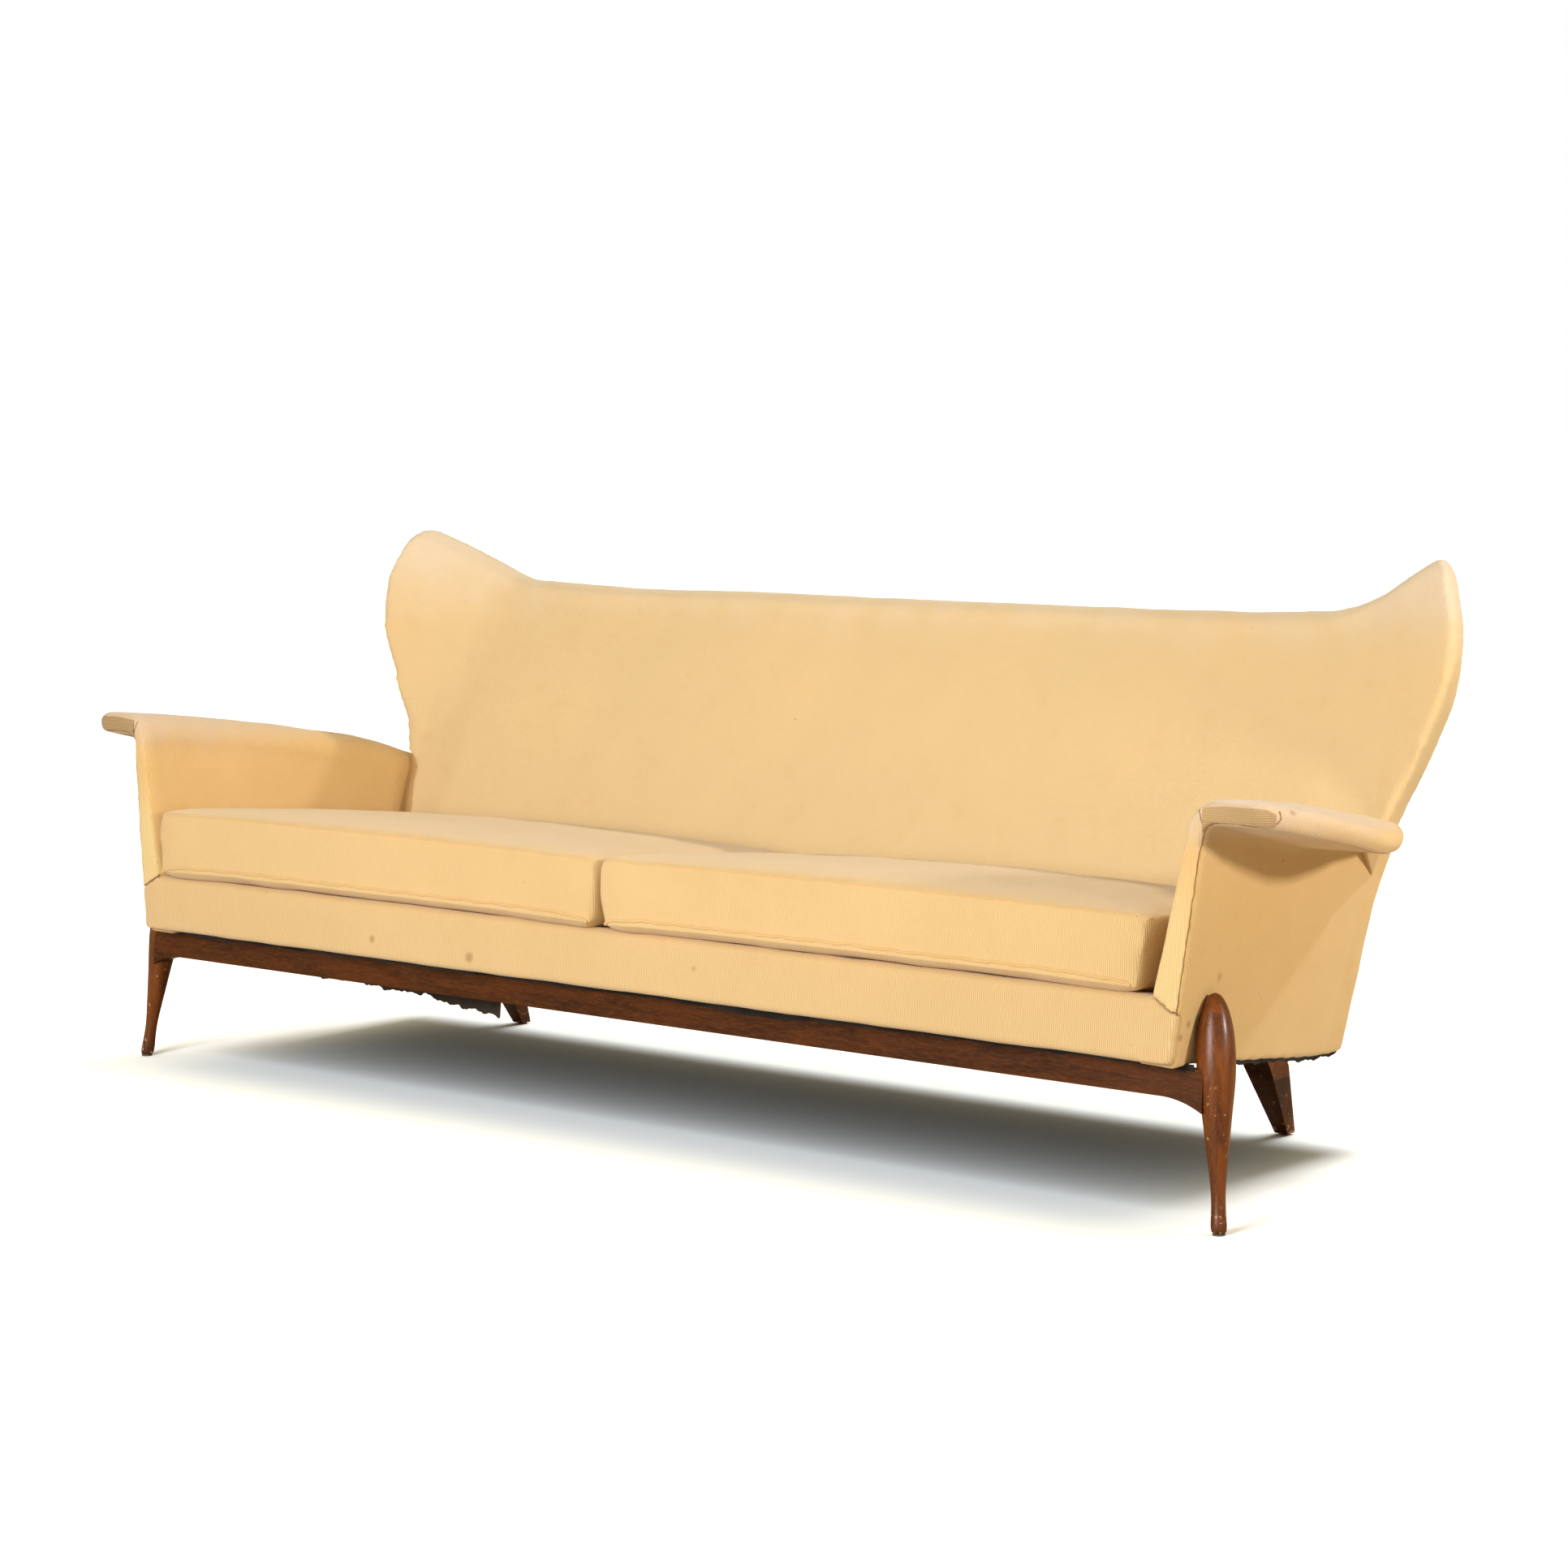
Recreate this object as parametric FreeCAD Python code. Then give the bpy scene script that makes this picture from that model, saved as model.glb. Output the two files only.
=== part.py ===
import FreeCAD, Part

import math
import os

from FreeCAD import Vector

# Wing-back sofa on walnut legs, in millimetres, +Z up, X across, +Y towards the back.
# The origin is on the floor, under the middle of the sofa.

# Overall sizes
overall_depth = 820.0
crest_overhang = 8.73
crest_height = 816.0
wing_height = 921.0
wing_half_span = 1135.5
underside_height = 240.0

# Half widths of the body, measured in from the wing tips
body_front_half = wing_half_span - 73.5
body_rear_half = wing_half_span - 125.5
mitre_inner_half = wing_half_span - 109.5

# Slopes: run over rise for faces that lean, fall over run for the seat
seat_fall = 0.108
arm_foot_fall = 0.125
back_front_lean = 0.49
back_rear_lean = 0.30
arm_outer_lean = 0.126
arm_inner_lean = 0.195
arm_front_lean = 0.061
arm_rear_lean = 0.32

# Running clearances and the overrun of every cut
soft_gap = 1.0
seat_gap = 0.3
overrun = 40.0

# Back
back_foot_height = 176.0
pad_foot_height = 284.0
crest_half_thickness = 30.0
crest_round_share = 0.25
back_knee_shares = (0.25, 0.75)
wing_half_thickness = 27.0
wing_root_height = 500.0
wing_hinge_half = wing_half_span - 212.5
wing_sweep = 0.65
wing_sweep_low_share = 0.3
wing_sweep_low_height = 550.0
wing_sweep_full_height = 900.0
thickness_blend_start = wing_half_span - 230.5
thickness_blend_end = wing_half_span - 135.5
body_end_half = body_rear_half
edge_bulge = 3.0
outer_cover = 5.0
corner_half = wing_half_span - 175.5
corner_foot_height = 186.0

# Back frame, measured forward from the rear face
frame_rear_inset = 6.0
frame_thickness = 26.0
post_outer_half = wing_half_span - 240.5
post_width = 45.0
top_rail_height = 50.0
top_rail_drop = 34.0
lower_rail_base = 318.0
lower_rail_height = 60.0
upright_width = 40.0
upright_place_shares = (-0.5, 0.0, 0.5)
back_rail_front = overall_depth - 242.0
back_rail_depth = 50.0
former_thickness = 20.0
former_rear_inset = 9.0
former_edge_inset = 28.0
former_foot_height = 530.0
former_foot_rise_share = 0.6
former_knee_shares = (0.2, 0.8)
former_place_shares = (0.83, 0.863, 0.90, 0.934, 0.96)
webbing_thickness = 2.0
webbing_width = 50.0
webbing_count = 6

# Arm
arm_length = overall_depth - 262.0
arm_base_thickness = 55.0
arm_front_crest = 613.0
arm_rear_crest = 497.0
arm_inner_round = 55.0
arm_panel_thickness = 7.0
arm_inner_padding = 9.0
strip_thickness = 18.0
flare_width = 165.0
flare_tip_radius = 18.0
flare_droop = 26.0
flare_root_radius = 12.0
flare_root_share = 0.25
flare_least_radius = 2.0
flare_full_share = 0.6
crest_setback = 8.0
crest_reach = 26.0
arm_inner_arc_shares = (0.24, 0.68)
arm_edge_round = 6.0
arm_foot_gap = 2.0
rear_post_shares = (0.87, 0.92)
front_post_depth = 95.0
arm_sill_height = 70.0
arm_rail_height = 45.0
arm_rail_neck = 28.0
flare_board_thickness = 14.0
flare_board_tip_inset = 22.0
flare_board_seat = 6.0
flare_board_end_share = 0.75
arm_panel_start_share = 0.1

# Seat box, in a frame that falls to the rear with the seat
border_height = 95.0
border_depth = 44.0
border_round = 14.0
border_foot_round = 6.0
border_padding = 12.0
mitre_fall = 0.61
rail_thickness = 28.0
front_rail_thickness = 65.0
rail_height = 66.0
rail_foot_gap = 4.0
side_rail_overlap = 9.0
cross_rail_width = 45.0
cross_rail_height = 40.0
cross_rail_place_shares = (-1 / 3, 1 / 3)
corner_block_leg = 70.0
corner_block_height = 45.0
spring_wire = 3.8
spring_width = 46.0
spring_count = 8
spring_bends = 14
spring_rail_inset = 8.0
spring_spread_share = 0.9
clip_length = 14.0
clip_width = 12.0
clip_wall = 2.0
deck_cloth_thickness = 1.5

# Seat cushions
cushion_front_inset = 6.0
cushion_welt_height = border_height + 17.0
cushion_seam_height = cushion_welt_height + 100.0
cushion_top_crown = 16.0
cushion_bottom_crown = 17.0
cushion_front_bulge = 8.0
cushion_arm_gap = 9.0
cushion_back_gap = 12.0
cushion_split_gap = 2.0
cushion_end_length = 40.0
# Crown of the cushion: end lengths from its front or rear face, share of the full crown
cushion_front_crown_shares = ((0, 0.0), (1, 0.75), (3, 1.0))
cushion_rear_crown_shares = ((3, 1.0), (1, 0.8), (0, 0.2))

# Walnut front rail under the border
walnut_rail_height = 44.0
walnut_rail_thickness = 25.0
walnut_rail_setback = 52.0
walnut_block_half = body_front_half - 50.0
walnut_block_drop = 17.0
cove_share = 0.6
walnut_joint_right = wing_half_span - 665.5
strip_height = 5.0
strip_setback = 3.0

# Front legs
front_foot_half = body_front_half + 53.5
front_foot_inset = 50.965
front_leg_splay = 0.108
front_leg_rake = 0.12
front_leg_top = 333.0
leg_boss_half_width = 17.0
leg_boss_foot = 246.0
leg_boss_top = 300.0
glide_thickness = 3.0
front_glide_radius = 9.0
leg_toe_share = 0.9
leg_flat_share = 0.5

# Rear legs
rear_foot_half = wing_half_span - 311.5
rear_foot_inset = 104.035
rear_leg_rake = 0.51
rear_leg_top_width = 49.0
rear_leg_top_depth = 54.0
rear_leg_foot_width = 24.0
rear_leg_foot_depth = 22.0
rear_glide_radius = 8.0
rear_leg_knee_height = 118.0
rear_leg_upper_rake = 0.72
rear_leg_top = 215.0

# Bolts and the dust cover
bolt_radius = 4.0
bolt_head_radius = 9.0
bolt_head_height = 4.0
bolt_spacing = 30.0
dust_cover_thickness = 1.0
flap_width = 330.0
flap_drop = 95.0
flap_place = 525.5 - wing_half_span

front_y = -overall_depth / 2 - crest_overhang / 2
rear_y = overall_depth / 2 - crest_overhang / 2
front_foot_y = front_y + front_foot_inset
rear_foot_y = rear_y - rear_foot_inset
seat_angle = math.degrees(math.atan(seat_fall))
parts = {}


def box(x0, x1, y0, y1, z0, z1):
    return Part.makeBox(x1 - x0, y1 - y0, z1 - z0, Vector(x0, y0, z0))


def mirrored(shape):
    return shape.mirror(Vector(0, 0, 0), Vector(1, 0, 0))


def polygon(points):
    return Part.makePolygon(list(points) + [points[0]])


def ruled_loft(wires):
    return Part.makeLoft(wires, True, True)


def prism_along_x(outline, x0, x1):
    """Solid of a (y, z) outline between two planes across X."""
    face = Part.Face(polygon([Vector(x0, y, z) for y, z in outline]))
    return face.extrude(Vector(x1 - x0, 0, 0))


def prism_along_z(outline, z0, z1):
    """Solid of an (x, y) outline between two heights."""
    face = Part.Face(polygon([Vector(x, y, z0) for x, y in outline]))
    return face.extrude(Vector(0, 0, z1 - z0))


def blend(a, b, share):
    return a + (b - a) * share


def clamp(value, low, high):
    return max(low, min(high, value))


def along(table, x):
    """Straight-line reading of a table of (place, value) pairs."""
    for (x0, v0), (x1, v1) in zip(table, table[1:]):
        if x <= x1:
            return blend(v0, v1, clamp((x - x0) / (x1 - x0), 0, 1))
    return table[-1][1]


def seat_tilt(shape):
    """Moves a shape from the level seat frame to its place: the seat falls to the rear."""
    placed = shape.copy()
    placed.rotate(Vector(0, 0, 0), Vector(1, 0, 0), -seat_angle)
    placed.translate(Vector(0, front_y, underside_height))
    return placed


def seat_point(depth, height):
    """World (y, z) of a point in the level seat frame."""
    angle = math.radians(seat_angle)
    y = front_y + depth * math.cos(angle) + height * math.sin(angle)
    z = underside_height - depth * math.sin(angle) + height * math.cos(angle)
    return y, z


def underside_at(y):
    return underside_height - arm_foot_fall * (y - front_y)


# Back shell: middle surface and half thickness over half width s and height z

crest_centre_height = crest_height - crest_half_thickness


def back_rear_plane(z):
    return rear_y + back_rear_lean * (z - crest_centre_height)


def back_front_plane(z):
    return rear_y - 2 * crest_half_thickness + back_front_lean * (z - crest_centre_height)


def wing_forward(s, z):
    low = wing_sweep_low_height
    rise_share = clamp((z - low) / (wing_sweep_full_height - low), 0, 1)
    return wing_sweep * max(0, s - wing_hinge_half) * blend(wing_sweep_low_share, 1, rise_share)


def back_half_thickness(s, z):
    middle = (back_rear_plane(z) - back_front_plane(z)) / 2
    share = clamp((s - thickness_blend_start) / (thickness_blend_end - thickness_blend_start), 0, 1)
    half = blend(middle, wing_half_thickness, share)
    edge = wing_half_span - wing_half_thickness
    if s > edge:
        run = clamp((s - edge) / wing_half_thickness, 0, 1)
        half = half * math.sqrt(1 - run * run)
    return half


def back_middle(s, z):
    return (back_rear_plane(z) + back_front_plane(z)) / 2 - wing_forward(s, z)


def back_rear(s, z):
    return back_middle(s, z) + back_half_thickness(s, z)


def back_front(s, z):
    return back_middle(s, z) - back_half_thickness(s, z)


# Wing outline from the front: half width as a share of the wing span, height as a share of
# the rise from the crest to the wing tip
wing_top_shares = (
    (0.0, 0.0), (0.62, 0.04), (0.75, 0.11), (0.79, 0.22), (0.83, 0.40), (0.863, 0.57),
    (0.88, 0.685), (0.90, 0.79), (0.916, 0.885), (0.934, 0.97), (0.947, 1.0),
)
# Wing outline beyond its tip: half width share, lower and upper height as shares of the
# rise from the wing root to the wing tip
wing_side_shares = (
    (0.913, 0.0, 0.90), (0.923, 0.095, 0.95), (0.934, 0.166, 0.99), (0.947, 0.237, 1.0),
    (0.967, 0.38, 0.962), (0.982, 0.475, 0.857), (0.9935, 0.57, 0.79), (0.9985, 0.635, 0.7126),
)


def crest_at(s):
    return crest_height + (wing_height - crest_height) * along(wing_top_shares, s / wing_half_span)


def back_section(s, low, high):
    """Outline of the back shell in the plane across X at half width s."""
    half = abs(s)
    round_height = min(crest_half_thickness, (high - low) * crest_round_share)
    top = high - round_height
    foot = low + min(edge_bulge, round_height)
    knee_low, knee_high = (blend(foot, top, share) for share in back_knee_shares)
    knee = clamp(wing_sweep_low_height, knee_low, knee_high)

    def at(y, z):
        return Vector(s, y, z)

    middle = back_middle(half, top)
    width = back_half_thickness(half, top)
    slant = math.sqrt(0.5)
    front_foot, front_knee, front_top = (at(back_front(half, z), z) for z in (foot, knee, top))
    rear_foot, rear_knee, rear_top = (at(back_rear(half, z), z) for z in (foot, knee, top))
    crest = at(middle, high)
    front_arc = at(middle - width * slant, top + round_height * slant)
    rear_arc = at(middle + width * slant, top + round_height * slant)
    foot_arc = at(back_middle(half, foot), low)
    edges = [
        Part.makeLine(front_foot, front_knee),
        Part.makeLine(front_knee, front_top),
        Part.Arc(front_top, front_arc, crest).toShape(),
        Part.Arc(crest, rear_arc, rear_top).toShape(),
        Part.makeLine(rear_top, rear_knee),
        Part.makeLine(rear_knee, rear_foot),
        Part.Arc(rear_foot, foot_arc, front_foot).toShape(),
    ]
    return Part.Wire(edges)


def back_stations(foot_height):
    """Half widths with the lower and upper height of the shell there, from middle to tip."""
    rise = wing_height - wing_root_height
    places = [s_share * wing_half_span for s_share, _ in wing_top_shares]
    stations = []
    corners = [corner_half - soft_gap, corner_half, body_end_half]
    for s in [s for s in places if s < corner_half] + corners:
        stations.append((s, foot_height, crest_at(s)))
    for s_share, low_share, high_share in wing_side_shares:
        high = wing_root_height + rise * high_share
        if s_share <= wing_top_shares[-1][0]:
            high = crest_at(s_share * wing_half_span)
        stations.append((s_share * wing_half_span, wing_root_height + rise * low_share, high))
    return stations


def back_shell():
    """Padding of the back, on the seat deck; behind the arms it goes down to the body's foot."""
    half = []
    for s, low, high in back_stations(pad_foot_height):
        if s >= corner_half and low < wing_root_height:
            low = corner_foot_height
        half.append((s, low, high))
    return whole_shell(half)


def back_box(x0, x1, n0, n1, z0, z1):
    """Box that leans with the rear face; n runs forward from that face."""
    outline = [(back_rear_plane(z) - n, z) for n, z in ((n0, z0), (n1, z0), (n1, z1), (n0, z1))]
    return prism_along_x(outline, x0, x1)


def back_frame():
    n0 = frame_rear_inset
    n1 = frame_rear_inset + frame_thickness
    top = crest_height - top_rail_drop
    post_inner = post_outer_half - post_width
    front = n1 + webbing_thickness
    right_post = back_box(post_inner, post_outer_half, n0, n1, pad_foot_height, top)
    parts["back_post_right"] = right_post
    parts["back_post_left"] = mirrored(right_post)
    rail_foot = top - top_rail_height
    parts["back_top_rail"] = back_box(-post_inner, post_inner, n0, n1, rail_foot, top)
    lower_top = lower_rail_base + lower_rail_height
    parts["back_lower_rail"] = back_box(-post_inner, post_inner, n0, n1, lower_rail_base, lower_top)
    names = ("back_upright_left", "back_upright_middle", "back_upright_right")
    for name, share in zip(names, upright_place_shares):
        x = post_inner * share
        half = upright_width / 2
        parts[name] = back_box(x - half, x + half, n0, n1, lower_top, rail_foot)
    straps = []
    free = rail_foot - lower_top - webbing_count * webbing_width
    for index in range(webbing_count):
        base = lower_top + free / (webbing_count + 1) * (index + 1) + webbing_width * index
        half = post_outer_half
        straps.append(back_box(-half, half, n1, front, base, base + webbing_width))
    parts["back_webbing"] = Part.makeCompound(straps)


def wing_former():
    """Shaped board inside the right wing, against the outer side of the back post."""
    wires = []
    span = wing_half_span - former_edge_inset
    rise = wing_height - wing_root_height
    tip_start_share = wing_top_shares[-1][0]
    shares = [(share, high) for share, _, high in wing_side_shares if share >= tip_start_share]
    places = [post_outer_half] + [share * wing_half_span for share in former_place_shares]
    places.append(span)
    for s in places:
        low = former_foot_height
        for s_share, low_share, _ in wing_side_shares:
            reach = (s_share * wing_half_span - s) / former_edge_inset
            if reach < 1:
                foot_rise = former_edge_inset * former_foot_rise_share
                low = max(low, wing_root_height + rise * low_share + foot_rise)
        if s / wing_half_span < tip_start_share:
            high = crest_at(s) - former_edge_inset
        else:
            high = wing_root_height + rise * along(shares, s / wing_half_span) - former_edge_inset
        knee_low, knee_high = (blend(low, high, share) for share in former_knee_shares)
        knee = clamp(wing_sweep_low_height, knee_low, knee_high)
        rear = [Vector(s, back_rear(s, z) - former_rear_inset, z) for z in (low, knee, high)]
        front = [point - Vector(0, former_thickness, 0) for point in rear]
        wires.append(polygon(rear + front[::-1]))
    return ruled_loft(wires)


def whole_shell(half):
    whole = [(-s, low, high) for s, low, high in reversed(half[1:])] + half[1:]
    return ruled_loft([back_section(s, low, high) for s, low, high in whole])


def back_cover():
    """Outside back: a thin skin over the rear of the shell, down to the foot of the body."""
    shell = whole_shell(back_stations(back_foot_height))
    forward = shell.copy()
    forward.translate(Vector(0, -outer_cover, 0))
    return solid_of(shell.cut(forward))


# Arm: stations run from 0 at the front to 1 at the rear

flare_shares = (
    (0.0, 0.52), (0.02, 0.60), (0.045, 0.667), (0.125, 0.824), (0.206, 0.927), (0.286, 0.985),
    (0.367, 1.0), (0.447, 0.976), (0.527, 0.897), (0.608, 0.764), (0.688, 0.603), (0.768, 0.448),
    (0.833, 0.26), (0.87, 0.15), (0.92, 0.09), (0.96, 0.05), (1.0, 0.04),
)
droop_shares = (
    (0.0, 0.0), (0.05, 0.1), (0.15, 0.4), (0.3, 0.75), (0.4, 1.0), (0.5, 0.8), (0.6, 0.5),
    (0.83, 0.1), (1.0, 0.0),
)
arm_crest_shares = (
    (0.0, 0.0), (0.1, 0.045), (0.2, 0.11), (0.3, 0.18), (0.4, 0.265), (0.5, 0.355), (0.6, 0.45),
    (0.7, 0.535), (0.8, 0.65), (0.9, 0.83), (1.0, 1.0),
)
rear_round_shares = ((0.0, 0.0), (0.86, 0.0), (0.92, 0.12), (0.96, 0.4), (1.0, 1.0))
rear_round_inward = 20.0
rear_round_upward = 30.0


class ArmStation:
    """Sizes of the right arm at one station."""

    def __init__(self, t):
        self.t = t
        self.base_y = front_y + arm_length * t
        self.lean = blend(arm_front_lean, arm_rear_lean, t)
        self.foot = underside_at(self.base_y)
        self.crest = blend(arm_front_crest, arm_rear_crest, along(arm_crest_shares, t))
        self.overhang = flare_width * along(flare_shares, t)
        self.droop = flare_droop * along(droop_shares, t)
        self.round_share = along(rear_round_shares, t)
        self.outer_base = blend(body_front_half, body_rear_half, t)
        self.tip_radius = min(flare_tip_radius, self.overhang / 2 + flare_least_radius)
        self.root_radius = min(flare_root_radius, self.overhang * flare_root_share)

    def outer(self, z):
        return self.outer_base - rear_round_inward * self.round_share + arm_outer_lean * (z - self.foot)

    def inner(self, z):
        return self.outer_base - arm_base_thickness + arm_inner_lean * (z - self.foot)

    def point(self, x, z):
        return Vector(x, self.base_y + self.lean * (z - self.foot), z)


def arm_section(t, inset):
    """Closed outline of the arm at a station, drawn in by inset at the rounded front end."""
    arm = ArmStation(t)
    foot = arm.foot + rear_round_upward * arm.round_share
    crest = arm.crest - inset
    bend = arm.crest - arm_inner_round
    flare_base = arm.crest - arm.droop - 2 * arm.tip_radius + inset
    flare_share = clamp(arm.overhang / (flare_width * flare_full_share), 0, 1)
    crest_x = arm.outer(bend) - crest_setback + crest_reach * flare_share
    tip_x = arm.outer(bend) + arm.overhang - inset
    tip_z = arm.crest - arm.droop - arm.tip_radius
    radius = arm.tip_radius - inset
    root = arm.root_radius
    slant = math.sqrt(0.5)
    inner_foot = arm.point(arm.inner(foot) + inset, foot)
    inner_bend = arm.point(arm.inner(bend) + inset, bend)
    across_share, up_share = arm_inner_arc_shares
    reach = (crest_x - arm.inner(bend)) * across_share
    inner_arc = arm.point(arm.inner(bend) + inset + reach, blend(bend, crest, up_share))
    top = arm.point(crest_x, crest)
    tip_top = arm.point(tip_x - radius, tip_z + radius)
    tip_high = arm.point(tip_x - radius * (1 - slant), tip_z + radius * slant)
    tip = arm.point(tip_x, tip_z)
    tip_low = arm.point(tip_x - radius * (1 - slant), tip_z - radius * slant)
    tip_foot = arm.point(tip_x - radius, tip_z - radius)
    root_top = arm.point(arm.outer(flare_base) + root, tip_z - radius)
    root_z = tip_z - radius - root
    root_x = arm.outer(flare_base) + root * (1 - slant) - inset * slant
    root_arc = arm.point(root_x, root_z + root * slant)
    root_foot = arm.point(arm.outer(root_z) - inset, root_z)
    outer_foot = arm.point(arm.outer(foot) - inset, foot)
    edges = [
        Part.makeLine(inner_foot, inner_bend),
        Part.Arc(inner_bend, inner_arc, top).toShape(),
        Part.makeLine(top, tip_top),
        Part.Arc(tip_top, tip_high, tip).toShape(),
        Part.Arc(tip, tip_low, tip_foot).toShape(),
        Part.makeLine(tip_foot, root_top),
        Part.Arc(root_top, root_arc, root_foot).toShape(),
        Part.makeLine(root_foot, outer_foot),
        Part.makeLine(outer_foot, inner_foot),
    ]
    return Part.Wire(edges)


def arm_body():
    wires = []
    for t, _ in flare_shares:
        inset = arm_edge_round if t == 0 else 0
        wires.append(arm_section(t, inset))
    return ruled_loft(wires)


def arm_member(places, low, high, padding=arm_inner_padding):
    """Board in the thickness of the arm, between heights given by functions of a station."""
    wires = []
    for t in places:
        arm = ArmStation(t)
        corners = []
        for z in (low(arm), high(arm)):
            x0 = arm.inner(z) + padding
            x1 = arm.outer(z) - arm_panel_thickness - soft_gap
            corners.append((arm.point(x0, z), arm.point(x1, z)))
        wires.append(polygon([corners[0][0], corners[0][1], corners[1][1], corners[1][0]]))
    return ruled_loft(wires)


# Times the station is found again, because a station leans to the rear as it rises
lean_rounds = 3


def arm_inner_at(y, z):
    """Half width of the inner face of the arm at a point of the seat."""
    t = clamp((y - front_y) / arm_length, 0, 1)
    for _ in range(lean_rounds):
        arm = ArmStation(t)
        t = clamp((y - arm.lean * (z - arm.foot) - front_y) / arm_length, 0, 1)
    return ArmStation(t).inner(z)


def solid_of(shape):
    """The largest solid of a result, without the slivers that cuts leave."""
    return max(shape.Solids, key=lambda solid: solid.Volume)


def cut_all(shape, tools):
    for tool in tools:
        shape = shape.cut(tool)
    return solid_of(shape)


def front_slab(t0, t1):
    """Slice of the space of the right arm between two stations, past it on every side."""
    wires = []
    for t in (t0, t1):
        arm = ArmStation(t)
        low = arm.foot - overrun
        high = arm.crest + overrun
        inner = arm.inner(low) - overrun
        outer = arm.outer(high) + flare_width + overrun
        corners = ((inner, low), (outer, low), (outer, high), (inner, high))
        wires.append(polygon([arm.point(x, z) for x, z in corners]))
    return ruled_loft(wires)


def above_mitre():
    """Space above the slanting seam where the arm strip meets the end of the border."""
    _, seam_z = seat_point(0, border_height)
    reach = body_front_half + overrun * 2
    inner = mitre_inner_half - overrun * 2
    z_in = seam_z + mitre_fall * overrun * 2
    z_out = seam_z - mitre_fall * (reach - mitre_inner_half)
    top = arm_front_crest + overrun
    depth = overrun * 2
    wide = reach + flare_width
    corners = [(inner, z_in), (reach, z_out), (wide, z_out), (wide, top), (inner, top)]
    face = Part.Face(polygon([Vector(x, front_y - depth, z) for x, z in corners]))
    return face.extrude(Vector(0, 2 * depth, 0))


def seat_prism(x0, x1, d0, d1, h0, h1):
    return seat_tilt(box(x0, x1, d0, d1, h0, h1))


def seat_flat(corners, h0, h1):
    """Board or cloth with an (x, depth) outline between two heights of the seat frame."""
    return seat_tilt(prism_along_z(corners, h0, h1))


def seat_half(depth, height):
    y, z = seat_point(depth, height)
    return arm_inner_at(y, z)


rail_low = rail_foot_gap
rail_top = rail_low + rail_height
front_rail_rear = border_padding + front_rail_thickness
spring_high = rail_top + clip_wall
clip_top = rail_top + 2 * clip_wall + spring_wire
deck_low = clip_top
deck_pad_low = deck_low + deck_cloth_thickness
deck_pad_high = border_height - seat_gap


def border_middle():
    """Front border between the arms: rounded nose over a padded rail."""
    top = border_height
    rise = border_round * (1 - math.sqrt(0.5))
    foot = border_foot_round * (1 - math.sqrt(0.5))
    x = -mitre_inner_half

    def at(depth, height):
        return Vector(x, depth, height)

    edges = [
        Part.makeLine(at(border_foot_round, 0), at(border_depth, 0)),
        Part.makeLine(at(border_depth, 0), at(border_depth, top)),
        Part.makeLine(at(border_depth, top), at(border_round, top)),
        Part.Arc(at(border_round, top), at(rise, top - rise), at(0, top - border_round)).toShape(),
        Part.makeLine(at(0, top - border_round), at(0, border_foot_round)),
        Part.Arc(at(0, border_foot_round), at(foot, foot), at(border_foot_round, 0)).toShape(),
    ]
    profile = Part.Face(Part.Wire(edges))
    return seat_tilt(profile.extrude(Vector(2 * mitre_inner_half, 0, 0)))


def seat_frame(arms, cover):
    half = seat_half(border_padding, rail_low) + side_rail_overlap
    front = seat_prism(-half, half, border_padding, front_rail_rear, rail_low, rail_top)
    parts["seat_front_rail"] = cut_all(front, arms)
    half = post_outer_half + post_width
    back_rail_rear = back_rail_front + back_rail_depth
    back = seat_prism(-half, half, back_rail_front, back_rail_rear, rail_low, rail_top)
    posts = [parts["back_post_left"], parts["back_post_right"]]
    parts["seat_back_rail"] = cut_all(back, posts + arms + [cover])
    wires = []
    for depth in (front_rail_rear, back_rail_front):
        corners = []
        for height in (rail_low, rail_top):
            x = seat_half(depth, height)
            corners.append((x - rail_thickness, depth, height))
            corners.append((x + side_rail_overlap, depth, height))
        order = (corners[0], corners[1], corners[3], corners[2])
        wires.append(polygon([Vector(*corner) for corner in order]))
    side = cut_all(seat_tilt(ruled_loft(wires)), arms[:1])
    parts["seat_side_rail_right"] = side
    parts["seat_side_rail_left"] = mirrored(side)
    names = ("seat_cross_rail_left", "seat_cross_rail_right")
    for name, share in zip(names, cross_rail_place_shares):
        x = share * mitre_inner_half
        width = cross_rail_width / 2
        high = rail_low + cross_rail_height
        parts[name] = seat_prism(x - width, x + width, front_rail_rear, back_rail_front, rail_low, high)
    blocks = []
    low = rail_low
    high = rail_low + corner_block_height
    for depth, run in ((front_rail_rear, corner_block_leg), (back_rail_front, -corner_block_leg)):
        outer = seat_half(depth, rail_low) - rail_thickness / 2
        inner = outer - corner_block_leg - rail_thickness / 2
        corners = [(inner, depth), (outer, depth), (outer, depth + run)]
        block = cut_all(seat_flat(corners, low, high), [side])
        blocks.append(block)
        blocks.append(mirrored(block))
    parts["corner_blocks"] = Part.makeCompound(blocks)


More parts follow.
